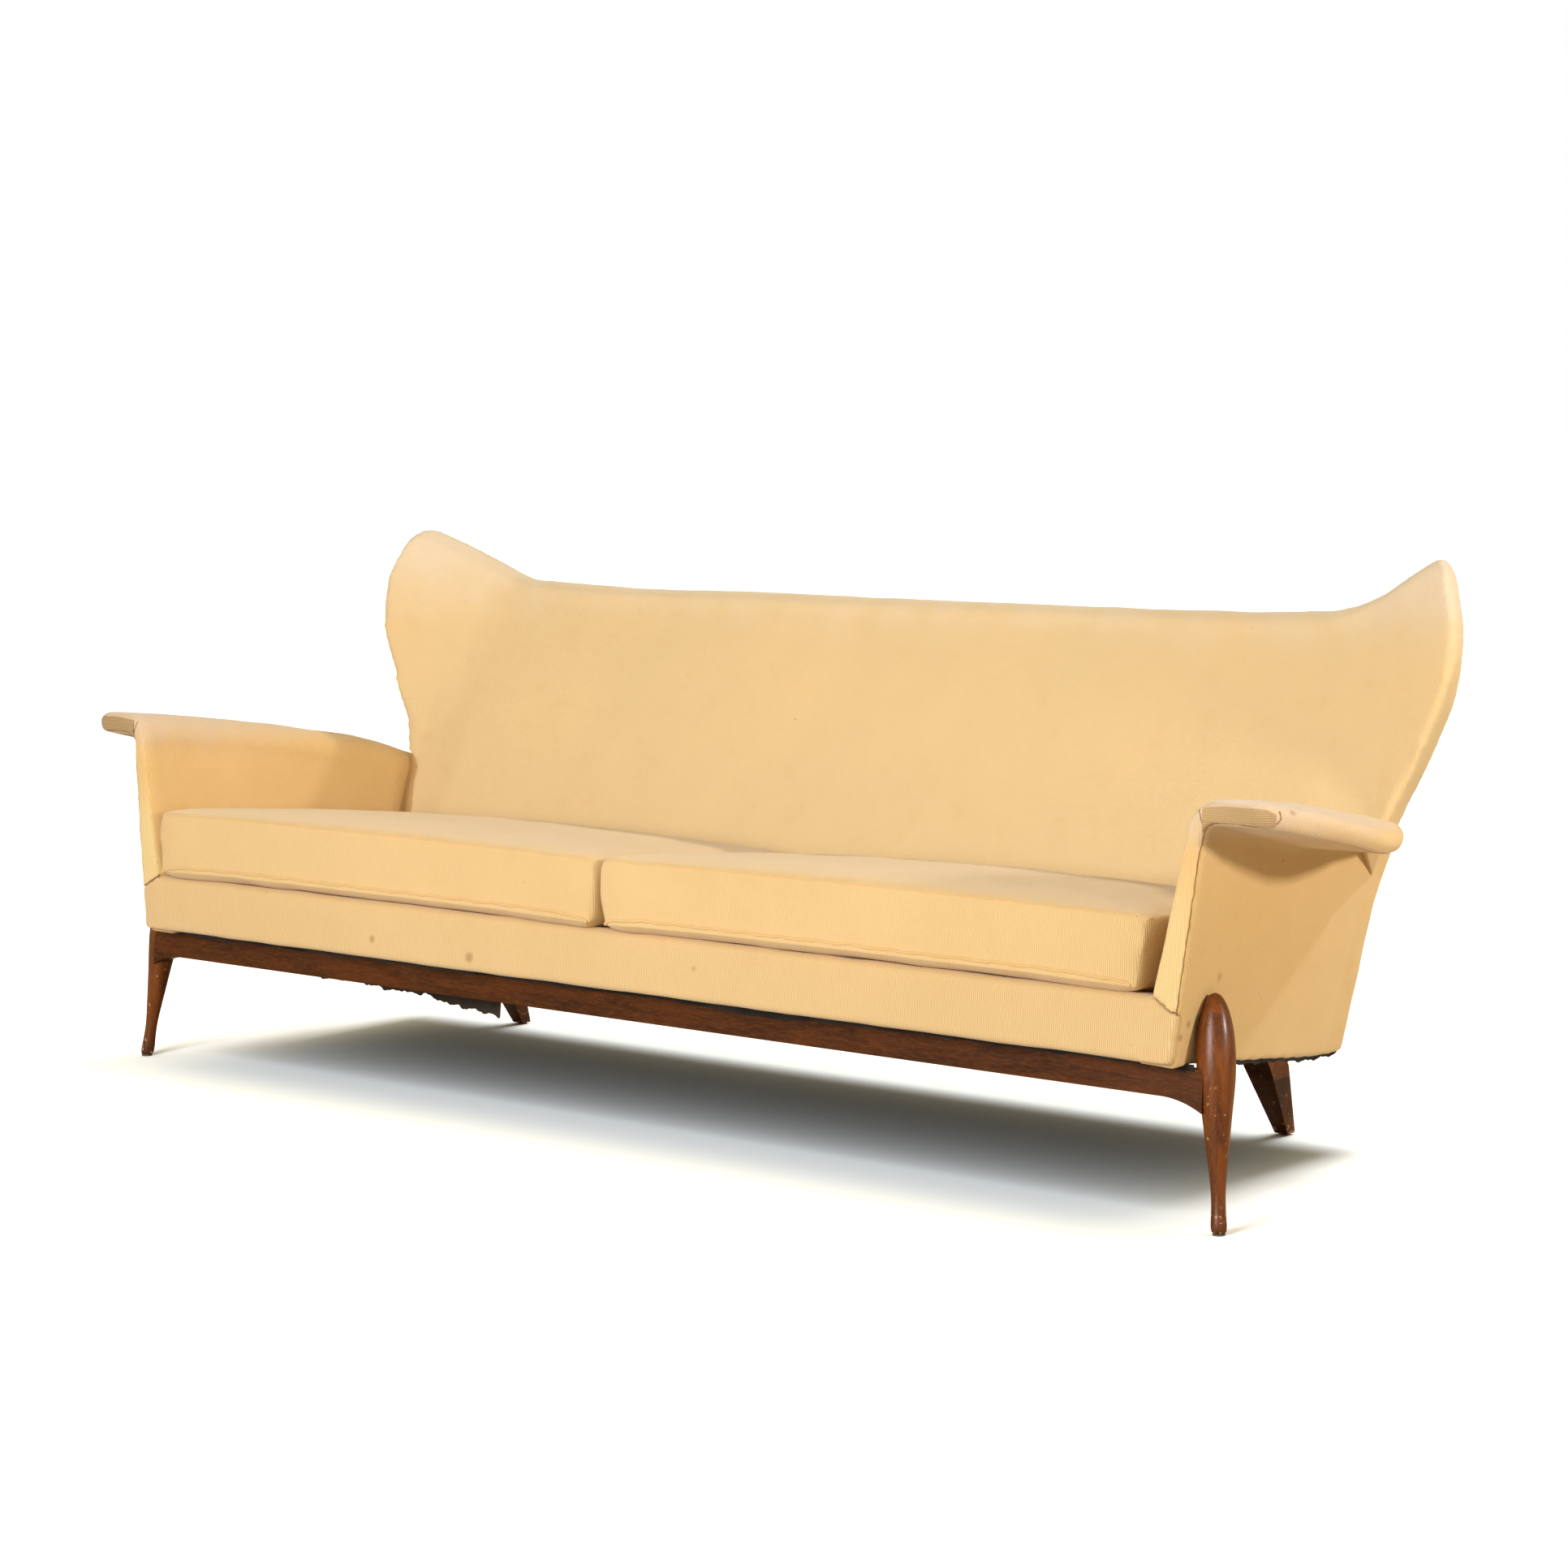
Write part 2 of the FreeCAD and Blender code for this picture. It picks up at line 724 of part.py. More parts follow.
def zigzag_spring(x):
    """One flat zigzag wire from the front rail to the back rail."""
    start = front_rail_rear - spring_rail_inset
    finish = back_rail_front + spring_rail_inset
    pitch = (finish - start) / spring_bends
    radius = pitch / 2
    straight = spring_width / 2 - radius
    height = spring_high + spring_wire / 2
    edges = []
    depth = start
    side = -1
    place = Vector(x, depth, height)
    for _ in range(spring_bends):
        turn = Vector(x + side * straight, depth, height)
        edges.append(Part.makeLine(place, turn))
        peak = Vector(x + side * (straight + radius), depth + radius, height)
        place = Vector(x + side * straight, depth + pitch, height)
        edges.append(Part.Arc(turn, peak, place).toShape())
        depth += pitch
        side = -side
    end = Vector(x, depth, height)
    edges.append(Part.makeLine(place, end))
    circle = Part.makeCircle(spring_wire / 2, Vector(x, start, height), Vector(-1, 0, 0))
    return seat_tilt(Part.Wire(edges).makePipeShell([Part.Wire([circle])], True, False))


def springs_and_deck(arms):
    springs = []
    clips = []
    for index in range(spring_count):
        x = mitre_inner_half * spring_spread_share * ((2 * index + 1) / spring_count - 1)
        spring = zigzag_spring(x)
        springs.append(spring)
        for depth in (front_rail_rear - spring_rail_inset, back_rail_front + spring_rail_inset):
            half = clip_length / 2
            width = clip_width / 2
            clip = seat_prism(x - half, x + half, depth - width, depth + width, rail_top, clip_top)
            clips.append(clip.cut(spring))
    parts["seat_springs"] = Part.makeCompound(springs)
    parts["spring_clips"] = Part.makeCompound(clips)
    rear = back_rail_front + back_rail_depth / 2
    corners = []
    for depth in (border_padding, rear):
        half = seat_half(depth, deck_low) + side_rail_overlap
        corners.append((half, depth))
    outline = corners + [(-x, depth) for x, depth in reversed(corners)]
    posts = [parts["back_post_left"], parts["back_post_right"]]
    tools = arms + posts + [parts["front_border"]]
    cloth = seat_flat(outline, deck_low, deck_pad_low)
    pad = seat_flat(outline, deck_pad_low, deck_pad_high)
    parts["deck_cloth"] = cut_all(cloth, tools)
    parts["deck_pad"] = cut_all(pad, tools)


def cushion_right():
    """Boxed seat cushion with a crowned top and underside and a rear face that leans back."""
    back_lean = math.tan(math.atan(back_front_lean) - math.radians(seat_angle))
    _, deck_z = seat_point(back_rail_front, deck_pad_high)
    rear_y_low = back_front_plane(deck_z) - cushion_back_gap
    rear_depth = rear_y_low - front_y
    front = cushion_front_inset
    end = cushion_end_length
    stations = [(front + ends * end, crown) for ends, crown in cushion_front_crown_shares]
    stations += [(rear_depth - ends * end, crown) for ends, crown in cushion_rear_crown_shares]
    wires = []
    for depth, crown in stations:
        lean = back_lean * clamp((depth - front) / (rear_depth - front), 0, 1)
        low_h = cushion_welt_height
        high_h = cushion_seam_height

        def at(x, height):
            return Vector(x, depth + lean * (height - low_h), height)

        inner = cushion_split_gap / 2
        outer_low = seat_half(depth, low_h) - cushion_arm_gap
        outer_high = seat_half(depth + lean * (high_h - low_h), high_h) - cushion_arm_gap
        middle = (inner + outer_low) / 2
        bottom = at(middle, low_h - cushion_bottom_crown * crown)
        top = at(middle, high_h + cushion_top_crown * crown)
        corners = (at(inner, low_h), at(outer_low, low_h), at(outer_high, high_h), at(inner, high_h))
        if crown == 0:
            low_edge = Part.Arc(corners[0], at(middle, low_h - seat_gap), corners[1]).toShape()
            crest = at(middle, high_h + cushion_front_bulge)
            high_edge = Part.Arc(corners[2], crest, corners[3]).toShape()
        else:
            low_edge = Part.Arc(corners[0], bottom, corners[1]).toShape()
            high_edge = Part.Arc(corners[2], top, corners[3]).toShape()
        outer_edge = Part.makeLine(corners[1], corners[2])
        inner_edge = Part.makeLine(corners[3], corners[0])
        wires.append(Part.Wire([low_edge, outer_edge, high_edge, inner_edge]))
    return seat_tilt(ruled_loft(wires))


# Turned front leg: height and diameter, as shares of the leg top and of the widest turning

leg_turning_shares = (
    (0.994, 0.22), (0.978, 0.41), (0.95, 0.59), (0.90, 0.78), (0.84, 0.92), (0.74, 1.0), (0.65, 0.97),
    (0.56, 0.86), (0.44, 0.69), (0.34, 0.57), (0.24, 0.445), (0.165, 0.37), (0.087, 0.375), (0.033, 0.415),
)
leg_widest = 56.0
full_turn = 360


def front_leg_right(post):
    axis = Vector(-front_leg_splay, front_leg_rake, 1)
    foot = Vector(front_foot_half, front_foot_y, glide_thickness)
    turning = []
    for height_share, width_share in reversed(leg_turning_shares):
        height = front_leg_top * height_share - glide_thickness
        turning.append(Vector(leg_widest / 2 * width_share, 0, height))
    curve = Part.BSplineCurve()
    curve.interpolate(turning)
    base = Vector(0, 0, 0)
    toe = Vector(leg_widest / 2 * leg_turning_shares[-1][1] * leg_toe_share, 0, 0)
    top = Vector(0, 0, front_leg_top - glide_thickness)
    edges = [
        Part.makeLine(base, toe),
        Part.makeLine(toe, turning[0]),
        curve.toShape(),
        Part.makeLine(turning[-1], top),
        Part.makeLine(top, base),
    ]
    turned = Part.Face(Part.Wire(edges)).revolve(Vector(0, 0, 0), Vector(0, 0, 1), full_turn)
    lean = math.degrees(math.atan(math.hypot(front_leg_splay, front_leg_rake)))
    turned.rotate(Vector(0, 0, 0), Vector(-front_leg_rake, -front_leg_splay, 0), lean)
    turned.translate(foot)
    left, right = foot.x - overrun, foot.x + overrun
    ground = box(left, right, foot.y - overrun, foot.y + overrun, -overrun, glide_thickness)
    turned = turned.cut(ground)
    middle_z = (leg_boss_foot + leg_boss_top) / 2
    centre = foot + axis * middle_z
    half = leg_boss_half_width
    low, high = leg_boss_foot, leg_boss_top
    boss = box(centre.x - leg_widest, centre.x, centre.y - half, centre.y + half, low, high)
    flat = leg_flat()
    return solid_of(turned.cut(flat).fuse(boss).cut(post))


def leg_flat():
    """Space inside the outer face of the arm, where the leg is cut flat."""
    wires = []
    for t in (0, leg_flat_share):
        arm = ArmStation(t)
        low = arm.foot
        high = arm.foot + 2 * border_height
        inner = arm.inner(low) - overrun
        corners = ((inner, low), (arm.outer(low), low), (arm.outer(high), high), (inner, high))
        wires.append(polygon([arm.point(x, z) for x, z in corners]))
    return ruled_loft(wires)


def rear_leg_right():
    """Square tapered leg raked to the rear, bending into the back rail."""
    foot_y = rear_foot_y - rear_leg_rake * glide_thickness
    knee_y = rear_foot_y - rear_leg_rake * rear_leg_knee_height
    top_y = knee_y - rear_leg_upper_rake * (rear_leg_top - rear_leg_knee_height)
    sections = (
        (glide_thickness, foot_y, rear_leg_foot_width, rear_leg_foot_depth),
        (rear_leg_knee_height, knee_y, rear_leg_top_width, rear_leg_top_depth),
        (rear_leg_top, top_y, rear_leg_top_width, rear_leg_top_depth),
    )
    wires = []
    for z, y, width, depth in sections:
        x0 = rear_foot_half - width / 2
        x1 = rear_foot_half + width / 2
        y0 = y - depth / 2
        y1 = y + depth / 2
        corners = ((x0, y0), (x1, y0), (x1, y1), (x0, y1))
        wires.append(polygon([Vector(x, y, z) for x, y in corners]))
    leg = ruled_loft(wires)
    seat_space = seat_prism(-body_front_half, body_front_half, 0, overall_depth, rail_low, border_height)
    return solid_of(leg.cut(seat_space))


def walnut_rail(arms):
    low = -strip_height - walnut_rail_height
    high = -strip_height
    d0 = walnut_rail_setback
    d1 = d0 + walnut_rail_thickness
    half = walnut_block_half
    places = (("front_rail_left", -half, 0.0), ("front_rail_middle", 0.0, walnut_joint_right),
              ("front_rail_right", walnut_joint_right, half))
    for name, x0, x1 in places:
        parts[name] = seat_prism(x0, x1, d0, d1, low, high)
    drop = low - walnut_block_drop
    reach = front_foot_half - leg_widest / 2
    outline = ((half, low), (half, high), (reach, high), (reach, drop))
    corners = [Vector(x, d0, height) for x, height in outline]
    edges = [Part.makeLine(a, b) for a, b in zip(corners, corners[1:])]
    hollow = Vector(blend(half, reach, cove_share), d0, blend(low, drop, cove_share / 2))
    edges.append(Part.Arc(corners[3], hollow, corners[0]).toShape())
    block = seat_tilt(Part.Face(Part.Wire(edges)).extrude(Vector(0, d1 - d0, 0)))
    leg = parts["front_leg_right"]
    parts["rail_end_block_right"] = solid_of(block.cut(leg))
    parts["rail_end_block_left"] = mirrored(parts["rail_end_block_right"])
    strip_half = body_front_half - 2 * border_padding
    strip = seat_prism(-strip_half, strip_half, d0 + strip_setback, d1, high, rail_low)
    parts["black_edge_strip"] = cut_all(strip, arms)


def dust_cover(tools):
    """Cloth under the seat frame with a torn flap hanging from it."""
    low = rail_low - dust_cover_thickness
    corners = []
    front = walnut_rail_setback + walnut_rail_thickness
    rear = back_rail_front + back_rail_depth
    for depth in (front, rear):
        corners.append((seat_half(depth, 0) - soft_gap, depth))
    outline = corners + [(-x, depth) for x, depth in reversed(corners)]
    cloth = seat_flat(outline, low, rail_low)
    flap_depth = walnut_rail_setback + walnut_rail_thickness + 2 * overrun
    flap = seat_prism(flap_place - flap_width / 2, flap_place + flap_width / 2, flap_depth,
                      flap_depth + dust_cover_thickness, low - flap_drop, rail_low)
    return cut_all(cloth.fuse(flap), tools)


def bolts_and_glides():
    glides = []
    front = (front_foot_half, front_foot_y, front_glide_radius)
    rear = (rear_foot_half, rear_foot_y, rear_glide_radius)
    for x, y, radius in (front, rear):
        for side in (-1, 1):
            glides.append(Part.makeCylinder(radius, glide_thickness, Vector(side * x, y, 0)))
    parts["leg_glides"] = Part.makeCompound(glides)


def drill(name, tools):
    for tool in tools:
        parts[name] = parts[name].cut(tool)
    solids = parts[name].Solids
    if len(solids) == 1:
        parts[name] = solids[0]


def front_bolts():
    bolts = []
    axis_x = body_front_half - arm_base_thickness
    y = front_foot_y + front_leg_rake * leg_boss_foot
    for z in (leg_boss_foot + leg_boss_half_width, leg_boss_top - leg_boss_half_width):
        arm = ArmStation((y - front_y) / arm_length)
        start = arm.inner(z) + arm_inner_padding + bolt_head_height
        shank = Part.makeCylinder(bolt_radius, arm_base_thickness, Vector(start, y, z), Vector(1, 0, 0))
        head = Part.makeCylinder(bolt_head_radius, bolt_head_height, Vector(start, y, z), Vector(1, 0, 0))
        bolt = shank.fuse(head)
        bolts.append(bolt)
        bolts.append(mirrored(bolt))
    parts["front_leg_bolts"] = Part.makeCompound(bolts)
    for name in ("arm_front_post_right", "arm_front_post_left", "front_leg_right", "front_leg_left"):
        drill(name, bolts)


def rear_bolts():
    bolts = []
    depth = back_rail_front + back_rail_depth / 3
    for side in (-1, 1):
        for offset in (-bolt_spacing / 2, bolt_spacing / 2):
            x = side * rear_foot_half + offset
            head_low = rail_top - 2 * bolt_head_height
            shank = Part.makeCylinder(bolt_radius, rail_height, Vector(x, depth, head_low - rail_height))
            head = Part.makeCylinder(bolt_head_radius, bolt_head_height, Vector(x, depth, head_low))
            bolts.append(seat_tilt(shank.fuse(head)))
    parts["rear_leg_bolts"] = Part.makeCompound(bolts)
    for name in ("seat_back_rail", "rear_leg_right", "rear_leg_left", "dust_cover"):
        drill(name, bolts)


def arm_frame_right():
    strip_end = strip_thickness / arm_length
    post_end = (strip_thickness + front_post_depth) / arm_length
    rear_start, rear_end = rear_post_shares

    def low(arm):
        return arm.foot + arm_foot_gap + rear_round_upward * arm.round_share

    def sill_top(arm):
        return low(arm) + arm_sill_height

    def rail_high(arm):
        return arm.crest - arm_rail_neck

    def rail_base(arm):
        return rail_high(arm) - arm_rail_height

    middle = [t for t, _ in flare_shares if post_end < t <= rear_start]
    post = arm_member((strip_end, post_end), low, rail_base)
    sill = arm_member((post_end, rear_start, rear_end), low, sill_top, padding=soft_gap)
    rail = arm_member([strip_end, post_end] + middle + [rear_end], rail_base, rail_high)
    rear_post = arm_member((rear_start, rear_end), sill_top, rail_base)
    wires = []
    for t in [t for t, _ in flare_shares if 2 * strip_end < t < flare_board_end_share]:
        arm = ArmStation(t)
        high = rail_high(arm)
        inner = arm.outer(high) - arm_panel_thickness - flare_board_seat
        outer = arm.outer(arm.crest - arm_inner_round) + arm.overhang - flare_board_tip_inset
        end = high - arm.droop
        thick = flare_board_thickness
        corners = ((inner, high), (outer, end), (outer, end + thick), (inner, high + thick))
        wires.append(polygon([arm.point(x, z) for x, z in corners]))
    board = ruled_loft(wires).cut(rail)
    members = {"arm_front_post": post, "arm_sill": sill, "arm_top_rail": rail,
               "arm_rear_post": rear_post, "flare_board": board}
    return {name: solid_of(shape) for name, shape in members.items()}


def arm_panel_space():
    """Space of the outside panel under the flare, running past the arm outward and down."""
    wires = []
    stations = [t for t, _ in flare_shares if t > arm_panel_start_share]
    for t in [strip_thickness / arm_length] + stations:
        arm = ArmStation(t)
        low = arm.foot - overrun
        high = arm.crest - arm.droop - 2 * arm.tip_radius - arm.root_radius
        outer = overrun / 2
        corners = ((arm.outer(low) - arm_panel_thickness, low), (arm.outer(low) + outer, low),
                   (arm.outer(high) + outer, high), (arm.outer(high) - arm_panel_thickness, high))
        wires.append(polygon([arm.point(x, z) for x, z in corners]))
    return ruled_loft(wires)


def build():
    body = arm_body()
    left_body = mirrored(body)
    back_frame()
    former = wing_former()
    panel_space = arm_panel_space()
    members = arm_frame_right()
    strip_end = strip_thickness / arm_length
    front_slice = body.common(front_slab(-strip_end, strip_end))
    rest = solid_of(body.cut(front_slice))
    upper = above_mitre()
    strip = solid_of(front_slice.common(upper))
    end = solid_of(front_slice.cut(upper))
    middle = cut_all(border_middle(), [rest, mirrored(rest)])
    border = middle.fuse(end).fuse(mirrored(end))
    strip = solid_of(strip.cut(border))
    parts["front_border"] = solid_of(border)
    arms = [body, left_body]
    cover = cut_all(back_cover(), arms)
    seat_frame(arms, cover)
    leg = front_leg_right(members["arm_front_post"])
    parts["front_leg_right"] = leg
    parts["front_leg_left"] = mirrored(leg)
    drill("front_border", [parts["seat_front_rail"]])
    springs_and_deck(arms + [cover])
    rear_leg = rear_leg_right()
    parts["rear_leg_right"] = rear_leg
    parts["rear_leg_left"] = mirrored(rear_leg)
    walnut_rail(arms)
    panel = cut_all(rest.common(panel_space), [leg])
    pad = cut_all(rest, [panel_space, leg] + list(members.values()))
    right = dict(members, arm_outer_panel=panel, arm_front_strip=strip, arm_pad=pad, wing_former=former)
    for name, shape in right.items():
        parts[name + "_right"] = shape
        parts[name + "_left"] = mirrored(shape)
    parts["back_outer_cover"] = cut_all(cover, [parts["rear_leg_right"], parts["rear_leg_left"]])
    under_names = ("deck_pad", "deck_cloth", "seat_side_rail_left", "seat_side_rail_right")
    under = [parts[name] for name in under_names]
    tools = arms + under + [cover, parts["back_webbing"], former, mirrored(former)]
    skins = ("back_webbing", "back_outer_cover")
    names = [name for name in parts if name.startswith("back_") and name not in skins]
    parts["back_pad"] = cut_all(back_shell(), tools + [parts[name] for name in names])
    cushion = cushion_right()
    parts["seat_cushion_right"] = cushion
    parts["seat_cushion_left"] = mirrored(cushion)
    cover_names = ("rear_leg_right", "rear_leg_left", "back_outer_cover", "back_pad")
    cover_tools = [parts[name] for name in cover_names]
    parts["dust_cover"] = dust_cover(cover_tools + arms)
    bolts_and_glides()
    front_bolts()
    rear_bolts()


build()
os.makedirs("parts", exist_ok=True)
for node, shape in parts.items():
    shape.exportStep("parts/" + node + ".step")
box_all = Part.makeCompound(list(parts.values())).BoundBox
print(len(parts), "parts", box_all)
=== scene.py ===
import math

import bpy
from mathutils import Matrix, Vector


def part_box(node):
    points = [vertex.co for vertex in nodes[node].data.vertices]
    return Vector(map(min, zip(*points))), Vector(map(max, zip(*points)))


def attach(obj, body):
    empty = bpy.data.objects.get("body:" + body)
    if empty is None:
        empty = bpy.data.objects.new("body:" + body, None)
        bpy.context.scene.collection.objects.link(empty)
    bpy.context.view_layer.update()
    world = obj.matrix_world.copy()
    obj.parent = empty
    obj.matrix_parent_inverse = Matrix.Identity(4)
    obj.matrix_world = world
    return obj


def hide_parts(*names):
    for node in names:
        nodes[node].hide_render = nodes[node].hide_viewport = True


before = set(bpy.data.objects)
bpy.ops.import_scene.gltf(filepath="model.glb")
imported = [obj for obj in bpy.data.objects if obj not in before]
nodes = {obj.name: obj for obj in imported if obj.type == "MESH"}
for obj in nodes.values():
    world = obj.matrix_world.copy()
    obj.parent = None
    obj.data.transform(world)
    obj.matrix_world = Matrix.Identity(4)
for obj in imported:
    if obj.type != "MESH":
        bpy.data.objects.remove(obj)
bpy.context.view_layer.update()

# Seat frame: its angle to the floor, and the y of its front face and height of its underside there
SEAT_ANGLE = math.atan(0.108)
FRONT_Y = -0.4144
UNDERSIDE = 0.240

SIDES = ("left", "right")
SIGN = {"left": -1, "right": 1}

# Colours of the cloth. It is one wool; the back, seat and front-strip colours are paler than the arms' as
# painted highlight, where those pieces stand in more light.
WOOL = (0.83, 0.575, 0.265, 1)
STRIP_WOOL_PAINTED_PALE = (0.87, 0.69, 0.37, 1)
BACK_WOOL_PAINTED_PALE = (0.85, 0.66, 0.39, 1)
SEAT_WOOL_PAINTED_PALE = (0.83, 0.61, 0.33, 1)
PATCH_WOOL = (0.47, 0.325, 0.18, 1)
FADED = (0.66, 0.48, 0.32, 1)
# Worn colour of the crest: faded, and painted paler as a painted highlight of the lit crest
CREST_FADED_AND_PAINTED_PALE = (0.90, 0.76, 0.57, 1)
PAINTED_SHADE_BETWEEN_THREADS = (0.80, 0.70, 0.50, 1)
WORN_THREAD = (0.74, 0.58, 0.41, 1)
WARM_CLOUD = (0.86, 0.60, 0.30, 1)
BROWN_CLOUD = (0.66, 0.40, 0.16, 1)
SPECK = (0.28, 0.15, 0.06, 1)
STAIN = (0.36, 0.19, 0.07, 1)
STAINS = (
    ((1.075, -0.295, 0.350), 0.012), ((1.068, -0.370, 0.293), 0.009), ((1.067, -0.389, 0.276), 0.008),
    ((0.197, -0.413, 0.291), 0.008), ((-0.275, -0.413, 0.263), 0.012), ((-0.498, -0.413, 0.272), 0.009),
    ((0.62, -0.413, 0.300), 0.006), ((1.075, -0.140, 0.500), 0.004), ((1.215, -0.345, 0.600), 0.009),
)

# Colours of the wood
OPEN_GRAIN = (0.5, 0.2, 0.05, 1)
PORE = (0.03, 0.011, 0.006, 1)
SCUFF = (0.42, 0.22, 0.12, 1)
GRIMY_FOOT = (0.05, 0.02, 0.012, 1)
BARE_WOOD = (0.55, 0.38, 0.24, 1)
FLECK = (0.50, 0.30, 0.13, 1)

SHEEN = 0.32
SHEET_THICKNESS = 0.0008
# From y to y, where the cloth of the arms goes over into the paler colour of their front strips, a painted
# highlight
STRIP_EDGE = (-0.397, -0.403)


def only(piece):
    bpy.ops.object.select_all(action="DESELECT")
    piece.select_set(True)
    bpy.context.view_layer.objects.active = piece


def press_in(piece, kind, name, **settings):
    """Adds a modifier with its settings and applies it."""
    modifier = piece.modifiers.new(name, kind)
    for key, value in settings.items():
        setattr(modifier, key, value)
    only(piece)
    bpy.ops.object.modifier_apply(modifier=name)


def join_to(piece, others):
    """Makes the piece and the others one mesh."""
    only(piece)
    for other in others:
        other.select_set(True)
    if others:
        bpy.ops.object.join()


def primitive(name, add, **settings):
    """A new mesh made by one of Blender's own primitives."""
    bpy.ops.object.select_all(action="DESELECT")
    add(**settings)
    piece = bpy.context.view_layer.objects.active
    piece.name = name
    return piece


def pattern_piece(name, cad_names):
    """One mesh cut from the named CAD solids, ready to be upholstered."""
    copies = []
    for cad_name in cad_names:
        copy = bpy.data.objects.new(name + "_part", nodes[cad_name].data.copy())
        bpy.context.scene.collection.objects.link(copy)
        copies.append(copy)
    piece = copies[0]
    join_to(piece, copies[1:])
    piece.name = name
    piece.data.materials.clear()
    return piece


def softened(piece, voxel, rounds):
    """Even skin over the piece, with its edges eased."""
    press_in(piece, "REMESH", "skin", mode="VOXEL", voxel_size=voxel, use_smooth_shade=True)
    press_in(piece, "SMOOTH", "ease", factor=0.5, iterations=rounds)


def uneven(piece, size, strength, seed_name):
    """Slow hand-made unevenness of stuffing under cloth."""
    clouds = bpy.data.textures.new(seed_name, "CLOUDS")
    clouds.noise_scale = size
    clouds.noise_depth = 1
    press_in(piece, "DISPLACE", "stuffing", texture=clouds, texture_coords="GLOBAL", strength=strength,
             mid_level=0.5)


def thicken(piece, thickness=SHEET_THICKNESS):
    press_in(piece, "SOLIDIFY", "thickness", thickness=thickness, offset=0)


def end_edit_faces_out():
    """Turns all faces of the edited mesh outwards and ends its editing."""
    bpy.ops.mesh.select_all(action="SELECT")
    bpy.ops.mesh.normals_make_consistent(inside=False)
    bpy.ops.object.mode_set(mode="OBJECT")


def smooth_shading(piece, degrees=60):
    only(piece)
    bpy.ops.object.shade_smooth_by_angle(angle=math.radians(degrees))


def dress(piece, material):
    piece.data.materials.clear()
    piece.data.materials.append(material)


# Finishes

# Sockets of the node that mixes two colours
MIX_SHARE, MIX_FIRST, MIX_SECOND, MIXED = 0, 6, 7, 2


class Finish:
    """A shared node group that takes named inputs and gives colour, roughness and bump height."""

    def __init__(self, name, **inputs):
        self.tree = bpy.data.node_groups.new(name, "ShaderNodeTree")
        self.add_socket("INPUT", "Point", "Vector")
        for label, value in inputs.items():
            kind = "Float" if isinstance(value, float) else "Color" if value and len(value) == 4 else "Vector"
            socket = self.add_socket("INPUT", label.replace("_", " "), kind)
            if value is not None:
                socket.default_value = value
        for label, kind in (("Colour", "Color"), ("Roughness", "Float"), ("Height", "Float")):
            self.add_socket("OUTPUT", label, kind)
        self.given = self.tree.nodes.new("NodeGroupInput").outputs
        self.end = self.tree.nodes.new("NodeGroupOutput")
        self.column = 0

    def add_socket(self, way, label, kind):
        return self.tree.interface.new_socket(name=label, in_out=way, socket_type="NodeSocket" + kind)

    def node(self, kind, values=None, **settings):
        made = self.tree.nodes.new(kind)
        self.column += 1
        made.location = (self.column * 180, 0)
        for key, value in settings.items():
            setattr(made, key, value)
        for key, value in (values or {}).items():
            self.feed(made.inputs[key], value)
        return made

    def feed(self, socket, value):
        if isinstance(value, bpy.types.NodeSocket):
            self.tree.links.new(value, socket)
        else:
            socket.default_value = value

    def math(self, operation, a, b=0.0):
        made = self.node("ShaderNodeMath", operation=operation)
        self.feed(made.inputs[0], a)
        self.feed(made.inputs[1], b)
        return made.outputs[0]

    def plus(self, a, b):
        return self.math("ADD", a, b)

    def minus(self, a, b):
        return self.math("SUBTRACT", a, b)

    def times(self, a, b):
        return self.math("MULTIPLY", a, b)

    def mix(self, share, a, b, blend_type="MIX"):
        made = self.node("ShaderNodeMix", data_type="RGBA", blend_type=blend_type)
        self.feed(made.inputs[MIX_SHARE], share)
        self.feed(made.inputs[MIX_FIRST], a)
        self.feed(made.inputs[MIX_SECOND], b)
        return made.outputs[MIXED]

    def band(self, value, low, high):
        """0 below low, 1 above high, and a smooth step between them."""
        made = self.node("ShaderNodeMapRange", interpolation_type="SMOOTHSTEP")
        self.feed(made.inputs["Value"], value)
        self.feed(made.inputs["From Min"], low)
        self.feed(made.inputs["From Max"], high)
        return made.outputs["Result"]

    def noise(self, vector, scale, detail=3.0, roughness=0.5, distortion=0.0):
        made = self.node("ShaderNodeTexNoise", {"Vector": vector, "Scale": scale, "Detail": detail,
                                                "Roughness": roughness, "Distortion": distortion})
        return made.outputs["Fac"]

    def scaled(self, vector, scale):
        made = self.node("ShaderNodeVectorMath", operation="MULTIPLY")
        self.feed(made.inputs[0], vector)
        self.feed(made.inputs[1], scale)
        return made.outputs[0]

    def parts_of(self, vector):
        made = self.node("ShaderNodeSeparateXYZ")
        self.feed(made.inputs[0], vector)
        return made.outputs

    def out(self, **values):
        for label, value in values.items():
            self.feed(self.end.inputs[label], value)


def spot_mask(finish, point, places):
    """1 at the middle of each (place, radius), fading out over its radius."""
    total = 0.0
    for centre, radius in places:
        made = finish.node("ShaderNodeVectorMath", operation="DISTANCE")
        finish.feed(made.inputs[0], point)
        finish.feed(made.inputs[1], centre)
        near = finish.band(made.outputs["Value"], radius, radius * 0.3)
        total = finish.math("MAXIMUM", total, near)
    return total


